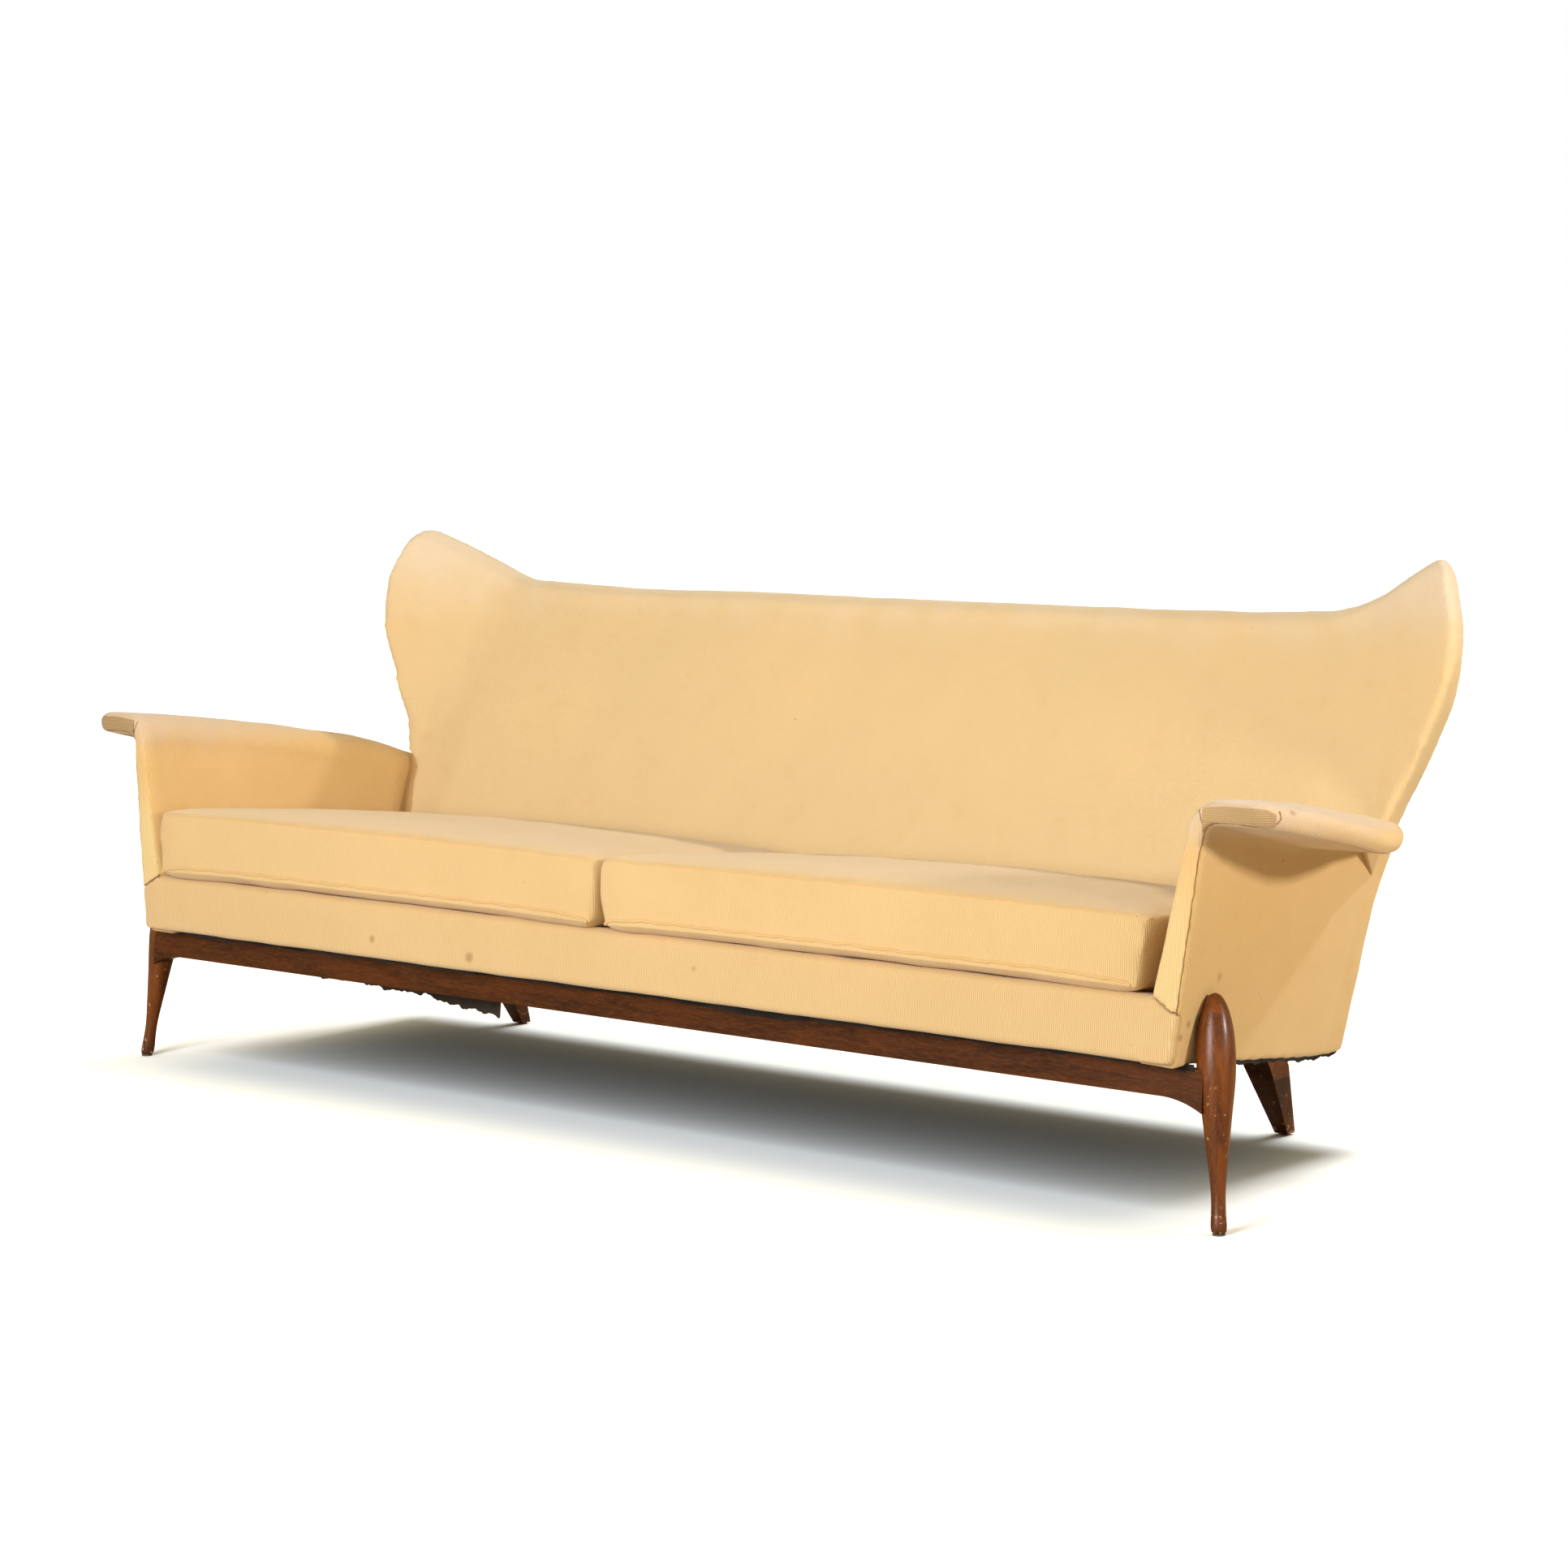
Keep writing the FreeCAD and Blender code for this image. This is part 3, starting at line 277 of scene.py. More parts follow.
def woven_wool():
    """Basket weave with raised ribs and painted shade in the grooves between threads; faded where the cloth
    is handled and painted paler on lit tops, and specked.
    """
    f = Finish("woven wool", Facing=None, Thread_Pitch=0.0033, Rib=0.5, Colour=WOOL, Worn_Colour=FADED,
               Wear=0.0, Level_Ribs=0.0)
    point = f.given["Point"]
    colour = f.given["Colour"]
    x, y, z = f.parts_of(point)
    nx, _, nz = f.parts_of(f.given["Facing"])
    turned_face = 0.72
    side = f.math("GREATER_THAN", f.math("ABSOLUTE", nx), turned_face)
    up = f.math("GREATER_THAN", f.math("ABSOLUTE", nz), turned_face)
    level = f.plus(f.times(x, f.minus(1.0, side)), f.times(y, side))
    rise = f.plus(f.times(z, f.minus(1.0, up)), f.times(y, up))
    wander = f.times(f.minus(f.noise(point, 26.0, 2.0), 0.5), 0.0035)
    turned = f.given["Level Ribs"]
    upright = f.minus(1.0, turned)
    across = f.plus(f.plus(f.times(level, upright), f.times(rise, turned)), wander)
    along = f.plus(f.plus(f.times(rise, upright), f.times(level, turned)), wander)

    turns = f.math("DIVIDE", math.tau, f.given["Thread Pitch"])
    weft_for_each_warp = 1.15
    warp = f.math("SINE", f.times(across, turns))
    weft = f.math("SINE", f.times(along, f.times(turns, weft_for_each_warp)))
    basket = f.times(f.times(warp, weft), 0.45)
    rib = f.times(warp, f.given["Rib"])
    fuzz = f.times(f.minus(f.noise(point, 900.0, 3.0, 0.7), 0.5), 1.2)
    weave = f.plus(f.plus(basket, rib), fuzz)
    height = f.plus(f.times(weave, 0.35), 0.5)
    thread = f.band(weave, -1.0, 1.0)
    # Painted shade: the grooves between the threads are darkened.
    cloth = f.mix(thread, f.mix(1.0, colour, PAINTED_SHADE_BETWEEN_THREADS, "MULTIPLY"), colour)

    slow = f.noise(point, 3.2, 3.0, 0.55)
    blotch = f.noise(point, 24.0, 4.0, 0.6)
    cloth = f.mix(f.times(f.band(slow, 0.35, 0.75), 0.30), cloth, WARM_CLOUD)
    cloth = f.mix(f.times(f.band(blotch, 0.50, 0.80), 0.16), cloth, BROWN_CLOUD)
    ragged = f.times(f.minus(f.noise(point, 14.0, 4.0), 0.5), 0.5)
    # Share of the worn colour: fading with wear, and on the lit tops also painted paler as painted highlight.
    worn = f.times(f.band(f.plus(f.given["Wear"], ragged), 0.15, 0.85), 0.85)
    cloth = f.mix(worn, cloth, f.mix(thread, f.given["Worn Colour"], WORN_THREAD))
    specks = f.band(f.noise(point, 105.0, 1.0), 0.80, 0.86)
    cloth = f.mix(f.times(specks, 0.55), cloth, SPECK)
    cloth = f.mix(f.times(spot_mask(f, point, STAINS), 0.6), cloth, STAIN)
    f.out(Colour=cloth, Roughness=f.plus(0.86, f.times(fuzz, 0.05)), Height=height)
    return f.tree


def walnut_grain():
    """Streaked wood with pores and scuffs, grimy and chipped at the foot and flecked low down."""
    f = Finish("walnut grain", Ring_Stretch=(1, 1, 1), Worn_Height=0.05, Dark=(0.070, 0.016, 0.002, 1),
               Light=(0.205, 0.052, 0.006, 1), Chips=0.0)
    point = f.given["Point"]
    light = f.given["Light"]
    drawn = f.scaled(point, f.given["Ring Stretch"])
    bands = f.noise(drawn, 9.0, 4.0, 0.6, 0.6)
    streaks = f.noise(f.scaled(drawn, (6, 6, 6)), 14.0, 5.0, 0.65, 0.4)
    pores = f.band(f.noise(f.scaled(drawn, (16, 16, 16)), 22.0, 2.0, 0.6), 0.56, 0.72)
    colour = f.mix(f.band(bands, 0.3, 0.7), f.given["Dark"], light)
    colour = f.mix(f.times(f.band(streaks, 0.4, 0.75), 0.4), colour, f.mix(0.3, light, OPEN_GRAIN))
    colour = f.mix(f.times(pores, 0.45), colour, PORE)
    scuff_line = f.noise(f.scaled(point, (3, 3, 40)), 30.0, 3.0, 0.7)
    scuff = f.times(f.band(scuff_line, 0.66, 0.74), 0.35)
    colour = f.mix(scuff, colour, SCUFF)

    z = f.parts_of(point)["Z"]
    foot = f.band(z, f.given["Worn Height"], 0.0)
    chip = f.times(foot, f.band(f.noise(point, 130.0, 2.0), 0.60, 0.66))
    colour = f.mix(f.times(foot, 0.45), colour, GRIMY_FOOT)
    colour = f.mix(chip, colour, BARE_WOOD)
    low_down = f.times(f.band(z, 0.26, 0.10), f.given["Chips"])
    fleck = f.band(f.noise(point, 120.0, 1.0), 0.705, 0.725)
    colour = f.mix(f.times(low_down, fleck), colour, FLECK)
    rough = f.plus(0.30, f.plus(f.times(pores, 0.18), f.times(scuff, 0.5)))
    f.out(Colour=colour, Roughness=rough, Height=f.minus(0.5, f.times(pores, 0.35)))
    return f.tree


def plain_weave():
    """Coarse cloth of one colour with a dusty, uneven face and painted shade in the gaps of its weave: deck,
    webbing, edging and bottom cloth.
    """
    f = Finish("coarse cloth", Thread_Pitch=0.002, Colour=(0.3, 0.2, 0.1, 1), Dust=(0.5, 0.4, 0.3, 1))
    x, y, z = f.parts_of(f.given["Point"])
    turns = f.math("DIVIDE", math.tau, f.given["Thread Pitch"])
    warp = f.math("SINE", f.times(x, turns))
    weft = f.math("SINE", f.times(f.plus(y, z), turns))
    weave = f.times(warp, weft)
    patch = f.noise(f.given["Point"], 12.0, 4.0, 0.6)
    colour = f.mix(f.band(patch, 0.35, 0.75), f.given["Colour"], f.given["Dust"])
    # Painted shade: the gaps between the threads are darkened.
    colour = f.mix(f.times(f.band(weave, 0.2, -0.9), 0.35), colour, (0.05, 0.04, 0.03, 1))
    f.out(Colour=colour, Roughness=f.plus(0.85, f.times(patch, 0.1)),
          Height=f.plus(0.5, f.times(weave, 0.4)))
    return f.tree


def dulled_metal():
    """Drawn or plated metal with a little tarnish."""
    f = Finish("dulled metal", Colour=(0.4, 0.4, 0.4, 1))
    tarnish = f.noise(f.given["Point"], 60.0, 4.0, 0.6)
    colour = f.mix(f.band(tarnish, 0.5, 0.8), f.given["Colour"], (0.16, 0.11, 0.08, 1))
    f.out(Colour=colour, Roughness=f.plus(0.3, f.times(tarnish, 0.3)), Height=tarnish)
    return f.tree


GROUPS = {}


def finish_group(maker):
    """The node group of this maker, made once and then shared."""
    if maker.__name__ not in GROUPS:
        GROUPS[maker.__name__] = maker()
    return GROUPS[maker.__name__]


def material(name, maker, bump_distance, values, metallic=0.0, sheen=0.0, coat=0.0, wear=None, shine=0.2):
    """A material whose colour, roughness and bump come from one of the shared groups."""
    made = bpy.data.materials.new(name)
    made.use_nodes = True
    tree = made.node_tree
    shader = tree.nodes["Principled BSDF"]
    group = tree.nodes.new("ShaderNodeGroup")
    group.node_tree = finish_group(maker)
    group.location = (-600, 0)
    place = tree.nodes.new("ShaderNodeTexCoord")
    place.location = (-900, 0)
    tree.links.new(place.outputs["Object"], group.inputs["Point"])
    if "Facing" in group.inputs:
        tree.links.new(place.outputs["Normal"], group.inputs["Facing"])
    for label, value in values.items():
        group.inputs[label.replace("_", " ")].default_value = value
    if wear is not None:
        wear(tree, place, group)
    bump = tree.nodes.new("ShaderNodeBump")
    bump.inputs["Distance"].default_value = bump_distance
    bump.inputs["Strength"].default_value = 0.8
    tree.links.new(group.outputs["Colour"], shader.inputs["Base Color"])
    tree.links.new(group.outputs["Roughness"], shader.inputs["Roughness"])
    tree.links.new(group.outputs["Height"], bump.inputs["Height"])
    tree.links.new(bump.outputs["Normal"], shader.inputs["Normal"])
    shader.inputs["Metallic"].default_value = metallic
    shader.inputs["Specular IOR Level"].default_value = shine
    if sheen:
        shader.inputs["Sheen Weight"].default_value = sheen
        shader.inputs["Sheen Roughness"].default_value = 0.45
    if coat:
        shader.inputs["Coat Weight"].default_value = coat
        shader.inputs["Coat Roughness"].default_value = 0.25
    return made


def share_along(tree, place, axis, low, high):
    """0 below low and 1 above high on that axis of the sofa."""
    split = tree.nodes.new("ShaderNodeSeparateXYZ")
    band = tree.nodes.new("ShaderNodeMapRange")
    band.inputs["From Min"].default_value = low
    band.inputs["From Max"].default_value = high
    tree.links.new(place.outputs["Object"], split.inputs[0])
    tree.links.new(split.outputs[axis], band.inputs["Value"])
    return band.outputs["Result"]


def worn_and_painted_pale_height(low, high):
    """Wear that grows with height, as on arm tops and the crest; it also paints the tops paler, as painted
    highlight where they catch the light.
    """

    def link(tree, place, group):
        tree.links.new(share_along(tree, place, "Z", low, high), group.inputs["Wear"])

    return link


def painted_pale_strips(wear):
    """Adds a paler colour on the front strips, a painted highlight where they face the light, to the wear of
    the arms.
    """

    def link(tree, place, group):
        wear(tree, place, group)
        cloth = tree.nodes.new("ShaderNodeMix")
        cloth.data_type = "RGBA"
        cloth.inputs[MIX_FIRST].default_value = WOOL
        cloth.inputs[MIX_SECOND].default_value = STRIP_WOOL_PAINTED_PALE
        tree.links.new(share_along(tree, place, "Y", *STRIP_EDGE), cloth.inputs[MIX_SHARE])
        tree.links.new(cloth.outputs[MIXED], group.inputs["Colour"])

    return link


def wool(name, bump_distance, wear=None, **values):
    """The golden wool, with what is different about it here."""
    values = {"Colour": WOOL, "Worn_Colour": FADED, **values}
    return material(name, woven_wool, bump_distance, values, sheen=SHEEN, wear=wear)


def coarse(name, bump_distance, **values):
    """Matt coarse stuff of one colour."""
    return material(name, plain_weave, bump_distance, values)


def wood(name, bump_distance, coat=0.0, shine=0.2, **values):
    """Grained wood, with a thin coat where it is polished."""
    return material(name, walnut_grain, bump_distance, values, coat=coat, shine=shine)


def make_materials():
    return {
        # The front strips are painted paler as painted highlight; the arm tops are faded and painted paler as
        # painted highlight.
        "arm_wool": wool("golden wool on the arms", 0.0012, painted_pale_strips(worn_and_painted_pale_height(0.50, 0.62)),
                         Rib=0.45),
        # The back's colour is painted paler as painted highlight; its crest is faded and painted paler still.
        "back_wool": wool("golden wool on the back", 0.0012, worn_and_painted_pale_height(0.70, 0.94), Rib=0.25,
                          Colour=BACK_WOOL_PAINTED_PALE, Worn_Colour=CREST_FADED_AND_PAINTED_PALE),
        # The border's and the cushions' colour is painted paler as painted highlight.
        "border_wool": wool("ribbed golden wool on the border", 0.0014, Rib=0.9, Colour=SEAT_WOOL_PAINTED_PALE),
        "patch_wool": wool("ribbed wool on the flare", 0.0012, Rib=1.0, Colour=PATCH_WOOL, Level_Ribs=1.0,
                           Thread_Pitch=0.0034),
        "cushion_wool": wool("golden wool on the cushions", 0.0013, Rib=0.6, Colour=SEAT_WOOL_PAINTED_PALE),
        "welt": wool("welt cord", 0.0008, Rib=0.3),
        "thread": coarse("dark seam thread", 0.0004, Colour=(0.26, 0.13, 0.045, 1),
                         Dust=(0.40, 0.22, 0.08, 1)),
        "leg": wood("turned walnut", 0.0005, coat=0.12, shine=0.3, Ring_Stretch=(6, 6, 0.7), Chips=1.0),
        "rail": wood("walnut rail", 0.0006, coat=0.03, Ring_Stretch=(0.7, 6, 6), Worn_Height=0.001,
                     Dark=(0.036, 0.009, 0.002, 1), Light=(0.095, 0.024, 0.004, 1)),
        "beech": wood("raw beech", 0.0005, Ring_Stretch=(1, 5, 5), Worn_Height=0.001,
                      Dark=(0.36, 0.22, 0.11, 1), Light=(0.52, 0.34, 0.18, 1)),
        "black": coarse("black edging", 0.0008, Colour=(0.018, 0.016, 0.015, 1), Dust=(0.05, 0.045, 0.04, 1),
                        Thread_Pitch=0.003),
        "bottom": coarse("bottom cloth", 0.0006, Colour=(0.045, 0.031, 0.022, 1),
                         Dust=(0.10, 0.072, 0.050, 1), Thread_Pitch=0.003),
        "jute": coarse("jute webbing", 0.001, Colour=(0.36, 0.25, 0.14, 1), Dust=(0.48, 0.37, 0.24, 1),
                       Thread_Pitch=0.004),
        "lining": coarse("deck lining", 0.0006, Colour=(0.52, 0.40, 0.26, 1), Dust=(0.62, 0.50, 0.36, 1),
                         Thread_Pitch=0.0025),
        "steel": material("spring steel", dulled_metal, 0.0002, {"Colour": (0.42, 0.42, 0.43, 1)},
                          metallic=1.0),
        "glide": coarse("worn glide", 0.0002, Colour=(0.10, 0.08, 0.06, 1), Dust=(0.16, 0.13, 0.10, 1),
                        Thread_Pitch=0.01),
    }


finishes = make_materials()

# Upholstery


ARM_PIECES = ("arm_pad_", "arm_outer_panel_", "arm_front_strip_", "arm_front_post_", "arm_sill_",
              "arm_top_rail_", "arm_rear_post_", "flare_board_")


def fill_behind_leg(arm, side):
    """Stuffing where the leg is let into the arm, so that the cloth meets the leg tightly."""
    filling = primitive("filling", bpy.ops.mesh.primitive_cube_add, size=1,
                        location=(SIGN[side] * 1.029, -0.351, 0.2715), scale=(0.058, 0.094, 0.077))
    bpy.ops.object.transform_apply(location=True, rotation=True, scale=True)
    join_to(arm, [filling])


def step_between(value, low, high):
    """0 below low, 1 above high and smooth between; the other way round where high is the lower."""
    share = min(max((value - low) / (high - low), 0.0), 1.0)
    return share * share * (3 - 2 * share)


def panel_line(y, level):
    """Height at y of a line that falls to the back as the foot of the side panel does."""
    return level - 0.125 * (y - FRONT_Y)


def leaning(z, y, level, lean):
    """The y at height z of a line that is at y on that level and leans back."""
    return y + lean * (z - level)


PANEL_FOOT = 0.240
FULL_WRAP = 1.06
OUTSIDE = (0.93, 0.97)
BELOW_FLARE = (0.47, 0.52)


def wrap_rear_end(arm):
    """Pulls the cloth of the side panel round to the outside back, as on the real one."""
    for vertex in arm.data.vertices:
        x, y, z = vertex.co
        foot = panel_line(y, PANEL_FOOT)
        start = leaning(z, 0.032, foot, 0.268)
        end = leaning(z, 0.1436, 0.170, 0.32)
        run = (y - start) / (end - start)
        if run <= 0:
            continue
        run = min(run, FULL_WRAP)
        # The new end goes over into the old one below the flare
        new_end = leaning(z, 0.163, 0.18, 0.19) + 0.26 * max(0.0, z - 0.40)
        if z > BELOW_FLARE[0]:
            new_end += (end - new_end) * step_between(z, *BELOW_FLARE)
        new_y = start + (new_end - start) * run
        # The old rounding is filled out and a tighter one made at the very end
        outside = step_between(abs(x), *OUTSIDE)
        filled = step_between(run, 0.4, 1.0) * 0.9 * outside
        rounded = max(0.0, (run - 0.80) / 0.24) ** 2 * outside
        near_foot = step_between(z, foot + 0.13, foot + 0.02)
        vertex.co.x = x + math.copysign(0.015 * filled - 0.018 * rounded, x)
        vertex.co.y = new_y
        vertex.co.z = z - near_foot * (0.010 * filled - 0.012 * rounded + 0.125 * (new_y - y))


def upholster_arm(side):
    arm = pattern_piece("arm_upholstery_" + side, [name + side for name in ARM_PIECES])
    fill_behind_leg(arm, side)
    softened(arm, 0.0045, 5)
    wrap_rear_end(arm)
    uneven(arm, 0.11, 0.004, "arm stuffing " + side)
    dress(arm, finishes["arm_wool"])
    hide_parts("arm_pad_" + side, "arm_outer_panel_" + side, "arm_front_strip_" + side)
    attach(arm, "sofa_frame")
    return arm


COVER_LEVEL = 0.200
# Half plan of the outer cover at that level: across, y, and lean to the back for each metre up
COVER_PLAN = ((0.0, 0.2273, 0.30), (0.895, 0.2270, 0.30), (0.915, 0.2185, 0.315), (0.940, 0.2019, 0.335),
              (0.960, 0.1862, 0.356), (0.980, 0.1724, 0.372), (1.000, 0.1586, 0.387), (1.008, 0.1530, 0.392))
BOARD_WIDTH = 2.016
BOARD_RISE = 0.133
BOARD_MIDDLE = 0.2435
BOARD_THICKNESS = 0.0135
BOARD_SETBACK = 0.0068


def on_cover(x, z):
    """The y of the middle of the outer cover near its foot."""
    for (a, y_a, lean_a), (b, y_b, lean_b) in zip(COVER_PLAN, COVER_PLAN[1:]):
        if abs(x) <= b:
            share = (abs(x) - a) / (b - a)
            lean = lean_a + (lean_b - lean_a) * share
            return y_a + (y_b - y_a) * share + lean * (z - COVER_LEVEL)
    return y_b + lean_b * (z - COVER_LEVEL)


def line_cover_foot(back):
    """Backing board behind the foot of the outer cover, where the cloth hangs free of the pad."""
    board = primitive("board", bpy.ops.mesh.primitive_grid_add, x_subdivisions=120, y_subdivisions=8, size=1)
    for vertex in board.data.vertices:
        x = vertex.co.x * BOARD_WIDTH
        z = BOARD_MIDDLE + vertex.co.y * BOARD_RISE
        vertex.co = (x, on_cover(x, z) - BOARD_SETBACK, z)
    thicken(board, BOARD_THICKNESS)
    join_to(back, [board])


def tuck_behind_arms(back):
    """Draws the lower ends of the back in behind the wrapped ends of the arms."""
    for vertex in back.data.vertices:
        tuck = step_between(abs(vertex.co.x), 0.975, 1.010) * step_between(vertex.co.z, 0.46, 0.40)
        vertex.co.x -= math.copysign(0.012 * tuck, vertex.co.x)
        vertex.co.y -= 0.004 * tuck


def upholster_back():
    back = pattern_piece("back_upholstery", [
        "back_pad", "back_outer_cover", "wing_former_left", "wing_former_right", "back_post_left",
        "back_post_right", "back_top_rail", "back_lower_rail", "back_upright_left", "back_upright_middle",
        "back_upright_right", "back_webbing"])
    line_cover_foot(back)
    softened(back, 0.0075, 6)
    tuck_behind_arms(back)
    uneven(back, 0.16, 0.006, "back stuffing")
    dress(back, finishes["back_wool"])
    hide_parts("back_pad", "back_outer_cover")
    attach(back, "sofa_frame")


def upholster_border():
    border = pattern_piece("border_upholstery", ["front_border"])
    softened(border, 0.0045, 3)
    uneven(border, 0.09, 0.003, "border stuffing")
    dress(border, finishes["border_wool"])
    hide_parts("front_border")
    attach(border, "sofa_frame")


# Heights in the seat frame of the deck and of the cushions' edges at rest, underside as cut and seams
DECK = 0.0955
EDGE_REST = 0.0965
CUT_UNDERSIDE = 0.112
SEAM_HEIGHTS = (0.112, 0.212)
CUSHION_VOXEL = 0.009
AIR_PRESSURE = 4.0
MOST_SWELL = 0.009
SAG = 0.017
EDGE_ROUND = 0.020
CORNER_RUN = 0.07
SEAM_PULL = 0.012
GATHER = 0.0012
# How far the fronts stand out, less low down by the right arm, and off the border, and the ends spread
CUSHION_REACH = 0.036
HELD_BY_ARM = 0.010
ARM_X = 1.035
SPLIT_SPREAD = 0.008
END_SPREAD = {"left": 0.004, "right": 0.0}
FRONT_LIFT = 0.006


def fill_cushion(side):
    """Cuts the cushion a little small, then swells it with air under the cloth."""
    name = "seat_cushion_" + side
    cushion = pattern_piece("cushion_" + side, [name])
    softened(cushion, CUSHION_VOXEL, 2)
    press_in(cushion, "DISPLACE", "cut small", strength=-0.003, mid_level=0.0)
    let_down_edges(cushion)
    round_corners(cushion, side)
    start = [vertex.co.copy() for vertex in cushion.data.vertices]
    low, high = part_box(name)
    swell(cushion, start)
    for vertex in cushion.data.vertices:
        for axis in (0, 1):
            vertex.co[axis] = min(max(vertex.co[axis], low[axis]), high[axis])
        vertex.co.z += max(0.0, DECK - seat_share(vertex.co)[2])
    press_in(cushion, "SUBSURF", "fine skin", levels=1)
    uneven(cushion, 0.13, 0.004, "cushion filling " + side)
    pucker(cushion)
    work_forward(cushion, side)
    dress(cushion, finishes["cushion_wool"])
    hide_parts(name)
    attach(cushion, "cushion_" + side)
    return cushion


def seat_share(spot):
    """The spot in the level seat frame: across, depth from the front and height."""
    y = spot.y - FRONT_Y
    z = spot.z - UNDERSIDE
    depth = y * math.cos(SEAT_ANGLE) - z * math.sin(SEAT_ANGLE)
    return spot.x, depth, y * math.sin(SEAT_ANGLE) + z * math.cos(SEAT_ANGLE)


def let_down_edges(cushion):
    """Lets the underside down to the border all round, as the filling sags over its edges."""
    low, high = cushion_span(cushion)
    middle = (low.x + high.x) / 2
    half = (high.x - low.x) / 2
    for vertex in cushion.data.vertices:
        x, depth, height = seat_share(vertex.co)
        crown = min(1.0, max(0.0, (depth - 0.006) / 0.055)) * (1 - ((x - middle) / half) ** 2)
        underside = CUT_UNDERSIDE - SAG * max(crown, 0.0)
        weight = step_between(height, underside + 0.034, underside)
        edge = min(max(depth - 0.004, 0.0), max(half - abs(x - middle), 0.0))
        rounding = EDGE_ROUND / 2 * max(0.0, 1 - edge / EDGE_ROUND) ** 2
        vertex.co.z -= weight * (underside - EDGE_REST - rounding)


def round_corners(cushion, side):
    """Draws the front corners in a little; at the split the lower corner is well rounded."""
    low, high = cushion_span(cushion)
    for vertex in cushion.data.vertices:
        height = seat_share(vertex.co)[2]
        near_front = max(0.0, 1 - (vertex.co.y - low.y) / CORNER_RUN)
        for edge in (low.x, high.x):
            near_side = max(0.0, 1 - abs(vertex.co.x - edge) / CORNER_RUN)
            at_split = abs(edge) < 0.1
            pull = 0.002 if at_split else 0.005 + 0.011 * step_between(height, 0.165, 0.215)
            if at_split and side == "right":
                pull += 0.016 * step_between(height, 0.160, 0.100)
            vertex.co.x += math.copysign(pull * near_front ** 2 * near_side, (low.x + high.x) / 2 - edge)
            setback = 0.005 if at_split else 0.010
            vertex.co.y += setback * near_side ** 2 * near_front


def pucker(cushion):
    """Small gathers along the front edges of the box, where the seams pull."""
    for vertex in cushion.data.vertices:
        x, depth, height = seat_share(vertex.co)
        if depth > 0.05:
            continue
        for seam in SEAM_HEIGHTS:
            near = math.exp(-((height - seam) / SEAM_PULL) ** 2)
            vertex.co.y += GATHER * near * wobble(x, 95.0, seam * 30)


def work_forward(cushion, side):
    """Lets the front stand out over the border, as loose cushions work forward in use."""
    low, high = cushion_span(cushion)
    middle = (low.x + high.x) / 2
    for vertex in cushion.data.vertices:
        x, depth, height = seat_share(vertex.co)
        at_arm = max(0.0, 1 - (ARM_X - abs(x)) / 0.10) if side == "right" else 0.0
        reach = CUSHION_REACH - HELD_BY_ARM * at_arm * step_between(height, 0.17, 0.10)
        vertex.co.y -= reach * step_between(depth, 0.30, 0.02)
        to_side = 2 * (x - middle) / (high.x - low.x)
        at_split = to_side * middle < 0
        vertex.co.x += (SPLIT_SPREAD if at_split else END_SPREAD[side]) * to_side * abs(to_side)
        off_border = max(0.0, 1 - to_side ** 4) * step_between(height, 0.128, 0.104)
        vertex.co.z += FRONT_LIFT * off_border * step_between(depth, 0.09, 0.03)


def wobble(value, rate, phase=0.0):
    """A slow wave that doesn't repeat soon, between -1 and 1."""
    turn = value * rate
    return (0.5 * math.sin(turn + phase) + 0.3 * math.sin(turn * 2.7 + phase * 1.7)
            + 0.2 * math.sin(turn * 6.1))


def cushion_span(piece):
    """The lowest and the highest corner of the box round the piece."""
    spots = [vertex.co for vertex in piece.data.vertices]
    return tuple(Vector(pick(spot[axis] for spot in spots) for axis in range(3)) for pick in (min, max))


def swell(piece, start):
    """Blows the piece up under its cloth, no spot going further from its start than MOST_SWELL."""
    last_frame = 20
    cloth = piece.modifiers.new("air", "CLOTH")
    cloth.settings.use_pressure = True
    cloth.settings.uniform_pressure_force = AIR_PRESSURE
    cloth.settings.effector_weights.gravity = 0.0
    cloth.point_cache.frame_start = 1
    cloth.point_cache.frame_end = last_frame
    for step in range(1, last_frame + 1):
        bpy.context.scene.frame_set(step)
    only(piece)
    bpy.ops.object.modifier_apply(modifier="air")
    bpy.context.scene.frame_set(1)
    for vertex, before in zip(piece.data.vertices, start):
        move = vertex.co - before
        if move.length > MOST_SWELL:
            vertex.co = before + move * (MOST_SWELL / move.length)


# Cords, tapes and sheets


def tube(name, points, radius, finish, body):
    """A round cord or thread through the points."""
    line = bpy.data.curves.new(name, "CURVE")
    line.dimensions = "3D"
    line.bevel_depth = radius
    line.bevel_resolution = 3
    spline = line.splines.new("POLY")
    spline.points.add(len(points) - 1)
    for target, point in zip(spline.points, points):
        target.co = (point[0], point[1], point[2], 1)
    line.use_fill_caps = True
    cord = bpy.data.objects.new(name, line)
    bpy.context.scene.collection.objects.link(cord)
    only(cord)
    bpy.ops.object.convert(target="MESH")
    cord = bpy.context.view_layer.objects.active
    smooth_shading(cord, 80)
    dress(cord, finish)
    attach(cord, body)


def laid_on(surface, place, lift):
    """The nearest spot of the surface, lifted off it."""
    _, spot, normal, _ = surface.closest_point_on_mesh(place)
    return spot + normal * lift


def drawn_on(surface, points, steps, lift):
    """Spots along straight runs between the points, laid on the surface and lifted off it."""
    laid = []
    for a, b in zip(points, points[1:]):
        for index in range(steps):
            laid.append(laid_on(surface, Vector(a).lerp(Vector(b), index / steps), lift))
    laid.append(laid_on(surface, Vector(points[-1]), lift))
    return laid


